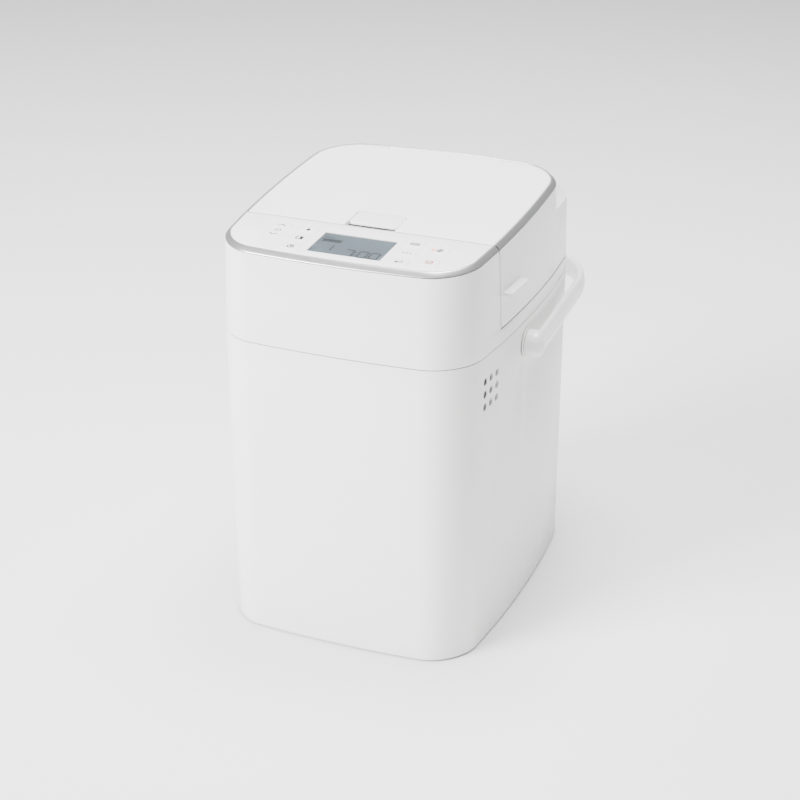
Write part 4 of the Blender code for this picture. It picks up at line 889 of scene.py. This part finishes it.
def coverLug(sx, axisZ):
    # a round head over the pin on a straight neck
    axisY, r = lid["axisY"], lid["lugRadius"]
    turns = [radians(-10 + 12.5 * i) for i in range(17)]
    points = [(axisY + r * cos(a), axisZ + r * sin(a)) for a in turns]
    points += [(axisY - r, axisZ - lid["lugFoot"]), (axisY + 0.5, axisZ - lid["lugFoot"])]
    return skin("lug", [[(sx * lid["lugX"] + s * lid["lugHalf"], y, z) for y, z in points] for s in (-1, 1)])


def coverEars():
    # fixed pads that fill the cover's outline behind its shoulders
    c = cover
    layers = ((c["earFoot"], 0.0),) + c["layers"][1:]
    ears = skin("ears", [slopeRing(rimInset + c["inset"] + pull, rise, "lid", "raised", lidLine["top"] + 1.0)
                         for rise, pull in layers])
    front = lid["axisY"] - c["shoulder"] + c["shoulderGap"]
    kept = bothBlocks(c["tailX"] + c["sideGap"], c["cutX"], front, front + c["cutLong"], *c["cutZ"])
    return carve(ears, kept, "INTERSECT")


def carveCoverWells(shell):
    # room in the hood's top for the cover's rear edge as it swings down between and beside the lugs
    front, rear, lug, half = lid["axisY"] - lid["wellFront"], lid["wellRear"], lid["lugX"], lid["wellHalf"]
    low, high = lid["wellZ"]
    middle = brick((-lug + half, front, low), (lug - half, rear, high))
    sides = bothBlocks(lug + half, cover["tailX"] + cover["sideGap"], front, rear - 0.4, low, high)
    carve(shell, together([middle, sides]))
    half, dip = lid["dipHalf"], rimZ(lid["axisY"], lid["dipRise"])
    carve(shell, bothBlocks(lug - half, lug + half, lid["axisY"] + lid["dipFront"], rear - 0.6,
                            dip, dip + lid["dipTall"]))


def makeLid():
    w, gap = outline["wall"], lidLine["gap"]
    shoulder, low = heights["shoulder"], heights["lidBottom"]
    ceiling = shoulder - w
    topLine, lowLine, midLine = lidLine["top"] + gap, lineAt(low) + gap, lineAt(shoulder) + gap
    rings = [
        slopeRing(w + rimInset, -w, "lid", "raised", topLine + w),
        ring(w + draftAt(ceiling), ceiling, "lid", "raised", midLine + w),
        ring(w + draftAt(ceiling), ceiling, "lid", "body", midLine + w),
        ring(w + draftAt(low), low, "lid", "body", lowLine + w),
        ring(draftAt(low), low, "lid", "body", lowLine),
        ring(draftAt(shoulder), shoulder, "lid", "body", midLine),
        ring(draftAt(shoulder), shoulder, "lid", "raised", midLine),
        slopeRing(rimInset, 0.0, "lid", "raised", topLine),
    ]
    shell = soften(skin("lidShell", rings), lid["edge"], 2, 50)
    y, halfX, halfY, corner = lid["opening"]
    carve(shell, skin("opening", [roundedRing(0, y, z, halfX, halfY, corner, 10) for z in lid["openingZ"]]))
    carve(shell, brick(*lid["latchSlot"]))
    carveCoverWells(shell)
    axisZ = rimZ(lid["axisY"], lid["axisRise"])
    for sx in (-1, 1):
        weld(shell, liftLedge(sx))
        weld(shell, knuckle(sx * hinge["middle"], lid["knuckleHalf"], False))
        weld(shell, coverLug(sx, axisZ))
    weld(shell, coverEars())
    carve(shell, pinBores())
    starts = [(sx * lid["lugX"] - lid["pinHalf"], lid["axisY"], axisZ) for sx in (-1, 1)]
    carve(shell, together([drum(lid["pin"], start, lid["pinHalf"] * 2, "X", 16) for start in starts]))
    finishPiece(shell, "lid_hood", made["case"], "lid", ["lid_shell"])


recess = {"left": -19.4, "right": 21.6, "front": -74.0, "bends": (-71.0, -68.0, -65.0, -62.5),
          "rear": -42.9, "corner": 4.0, "top": 8.0,
          "floor": 0.55, "ramp": 2.2, "rampEnd": -65.0, "rampLong": 7.2}
latch = {"at": (1.1, -54.35), "size": (40.0, 21.9), "corner": 3.6,
         "layers": ((1.95, 0.6), (2.1, 0.15), (2.4, 0.0), (3.5, 0.0), (3.85, 0.18), (4.03, 0.5), (4.1, 1.0)),
         "foot": (-4.0, -63.4, 4.0, -61.4), "footAt": -62.0, "footRise": -1.6, "footTall": 4.4}
latchScoopShade = {"floor": ((-72.25, 3.3), (-65.9, 0.95), (-65.9, 0.65), (-72.25, 2.9)), "floorX": (-19.1, 21.3),
             "gap": ((-65.8, 0.65), (-65.0, 0.65), (-65.0, 1.85), (-65.8, 1.3)), "gapX": (-18.9, 21.1)}


def scoopRise(y):
    # the floor falls from the front edge to under the latch's lip
    return recess["floor"] + recess["ramp"] * min(max((recess["rampEnd"] - y) / recess["rampLong"], 0.0), 1.0)


def recessRing(rise):
    q = recess
    x0, x1, r, y1 = q["left"], q["right"], q["corner"], q["rear"]
    plan = [(x0, q["front"]), (x1, q["front"])] + [(x1, y) for y in q["bends"]]
    for x, start in ((x1 - r, 0), (x0 + r, 90)):
        turns = [radians(start + 9 * i) for i in range(11)]
        plan += [(x + r * cos(a), y1 - r + r * sin(a)) for a in turns]
    plan += [(x0, y) for y in reversed(q["bends"])]
    return [(x, y, rimZ(y, rise(y))) for x, y in plan]


def makeCover():
    c, axisY, lug = cover, lid["axisY"], lid["lugX"]
    line, inset = lidLine["top"] + lidLine["gap"], rimInset + c["inset"]
    plate = skin("coverPlate", [slopeRing(inset + pull, rise, "lid", "raised", line + pull * 0.7)
                                for rise, pull in c["layers"]])
    carve(plate, skin("recess", [recessRing(scoopRise), recessRing(lambda y: recess["top"])]))
    carve(plate, brick(*c["latchSlot"]))
    half = c["notchHalf"]
    carve(plate, bothBlocks(lug - half, lug + half, axisY - c["notchAhead"], axisY + c["notchBehind"],
                            c["notchLow"], rimZ(axisY, c["notchRise"])))
    front = axisY - c["shoulder"]
    carve(plate, bothBlocks(c["tailX"], c["cutX"], front, front + c["cutLong"], *c["cutZ"]))
    finishPiece(plate, "cover_plate", made["top"], "cover", ["top_cover"])


def makeLatch():
    plate = skin("latchPlate", [padRing(latch["at"], latch["size"], rise, latch["corner"], pull, 8)
                                for rise, pull in latch["layers"]])
    x0, y0, x1, y1 = latch["foot"]
    low = rimZ(latch["footAt"], latch["footRise"])
    weld(plate, brick((x0, y0, low), (x1, y1, low + latch["footTall"])))
    finishPiece(plate, "latch_plate", made["case"], "latch", ["cover_latch"])


def makeLatchScoopShade():
    # painted shade: a pale grey floor slopes down in front of the latch, and a dark band behind it paints the
    # shadow under its lip
    parts = (("latch_scoop_shade", latchScoopShade["floor"], latchScoopShade["floorX"], "well"),
             ("latch_gap_shadow", latchScoopShade["gap"], latchScoopShade["gapX"], "jointShade"))
    for name, section, ends, finish in parts:
        piece = skin(name, [[(x, y, rimZ(y, rise)) for y, rise in section] for x in ends])
        finishPiece(piece, name, made[finish], "cover")


# the carrying handle

handle = {"reach": 193.55, "armX": 120.6, "splay": 12.0, "corner": 73.0, "armSteps": 8, "cornerSteps": 26,
          "halfThick": 4.2, "halfTall": 9.0, "around": 28,
          "boss": ((10.5, 0.0), (10.8, 0.3)), "bossX": 111.75,
          "dome": ((10.9, 6.0), (10.6, 4.2), (9.8, 2.4), (8.4, 1.1), (6.0, 0.3), (3.0, 0.0)),
          "slot": (112.6, 115.0, -27.6, -22.6, 221.6, 223.4),
          "boreStart": 100.0, "boreLong": 18.0}


def strapSection(count):
    # an oval, slightly fuller than an ellipse
    points = []
    for i in range(count):
        a = 2 * pi * i / count
        c, s = cos(a), sin(a)
        points.append((abs(c) ** 0.9 * (1 if c >= 0 else -1), abs(s) ** 0.95 * (1 if s >= 0 else -1)))
    return points


def strapPath():
    # the strap's middle line from above: the right arm and its corner, then the same mirrored
    h = handle
    straight = h["reach"] - h["corner"]
    endX = h["armX"] - h["splay"] * straight / h["reach"]
    count = h["armSteps"]
    half = [(h["armX"] + (endX - h["armX"]) * i / count, straight * i / count) for i in range(count)]
    for i in range(h["cornerSteps"] + 1):
        a = pi / 2 * i / h["cornerSteps"]
        half.append((endX - h["corner"] + h["corner"] * cos(a), straight + h["corner"] * sin(a)))
    return half + [(-x, s) for x, s in reversed(half)]


def makeHandle():
    h, centre = handle, (0.0, pivot["y"], pivot["z"])
    path = strapPath()
    sections = []
    for i, (x, s) in enumerate(path):
        before, after = path[max(i - 1, 0)], path[min(i + 1, len(path) - 1)]
        along = Vector((after[0] - before[0], after[1] - before[1])).normalized()
        sections.append([(x + along.y * u * h["halfThick"], pivot["y"] + s - along.x * u * h["halfThick"],
                          pivot["z"] + v * h["halfTall"]) for u, v in strapSection(h["around"])])
    strap = skin("strap", sections)
    outer = h["armX"] + h["halfThick"] - 0.3
    profile = [(r, h["bossX"] + out) for r, out in h["boss"]] + [(r, outer - back) for r, back in h["dome"]]
    for sx in (-1, 1):
        weld(strap, turned("boss", [(r, sx * x) for r, x in profile], centre, "X", 56))
    carve(strap, bothBlocks(*h["slot"]))
    carve(strap, bothDrills(pivot["radius"], h["boreStart"], h["boreLong"], pivot["y"], pivot["z"]))
    finishPiece(strap, "handle_strap", made["case"], "handle", ["carry_handle"], 40)
    for sx, side in ((-1, "left"), (1, "right")):
        flange = turned("pivot", [(r, sx * x) for r, x in pivot["flange"]], centre, "X", 56)
        finishPiece(flange, "pivot_flange_" + side, made["case"], "machine", ["handle_pivot_" + side])


# floor, lights and camera

studio = {"floor": "#f0f0f0", "floorSize": 30.0, "world": "#ffffff", "worldStrength": 0.36,
          "lights": (("key", (-1.6, -2.2, 1.5), 1.4, 285),  # name, place, side and power
                     ("top", (0.1, 0.2, 2.2), 1.2, 125)),
          "lit": (0, 0, 0.2)}
viewpoint = {"place": (524.6, -1294.5, 802.1), "aim": (5.48, -21.12, 164.59), "lens": 84.1, "sensor": 36.0}


def makeStudio():
    deselect()
    bpy.ops.mesh.primitive_plane_add(size=studio["floorSize"], location=(0, 0, 0))
    floor = bpy.context.object
    floor.name = "floor"
    material = bpy.data.materials.new("plain_pale_floor")
    material.use_nodes = True
    shader = material.node_tree.nodes["Principled BSDF"]
    shader.inputs["Base Color"].default_value = toLinear(studio["floor"])
    shader.inputs["Roughness"].default_value = 0.9
    shader.inputs["Specular IOR Level"].default_value = 0.0
    floor.data.materials.append(material)
    world = bpy.data.worlds.new("studio")
    world.use_nodes = True
    background = world.node_tree.nodes["Background"]
    background.inputs["Color"].default_value = toLinear(studio["world"])
    background.inputs["Strength"].default_value = studio["worldStrength"]
    bpy.context.scene.world = world


def makeLight(name, place, side, power):
    data = bpy.data.lights.new(name, "AREA")
    data.shape = "RECTANGLE"
    data.size = data.size_y = side
    data.energy = power
    light = bpy.data.objects.new(name, data)
    light.location = place
    light.rotation_euler = (Vector(studio["lit"]) - Vector(place)).to_track_quat("-Z", "Y").to_euler()
    bpy.context.scene.collection.objects.link(light)


def makeCamera():
    place, aim = [Vector((x, y + shiftY, z)) * mm for x, y, z in (viewpoint["place"], viewpoint["aim"])]
    data = bpy.data.cameras.new("camera")
    data.lens, data.sensor_width = viewpoint["lens"], viewpoint["sensor"]
    camera = bpy.data.objects.new("camera", data)
    camera.location = place
    camera.rotation_euler = (aim - place).to_track_quat("-Z", "Y").to_euler()
    bpy.context.scene.collection.objects.link(camera)
    bpy.context.scene.camera = camera


makeCamera()
makeStudio()
for light in studio["lights"]:
    makeLight(*light)
print("studio and camera set")
makeCase()
makeVentShadePlate()
makeUpperHousing()
print("case and control housing done")
makeTrims()
makeGapShadows()
makePanel()
makeKeys()
makeSigns()
makeDisplay()
print("controls done")
makeLid()
makeCover()
makeLatch()
makeLatchScoopShade()
print("lid done")
makeHandle()
print("handle done")

deselect()
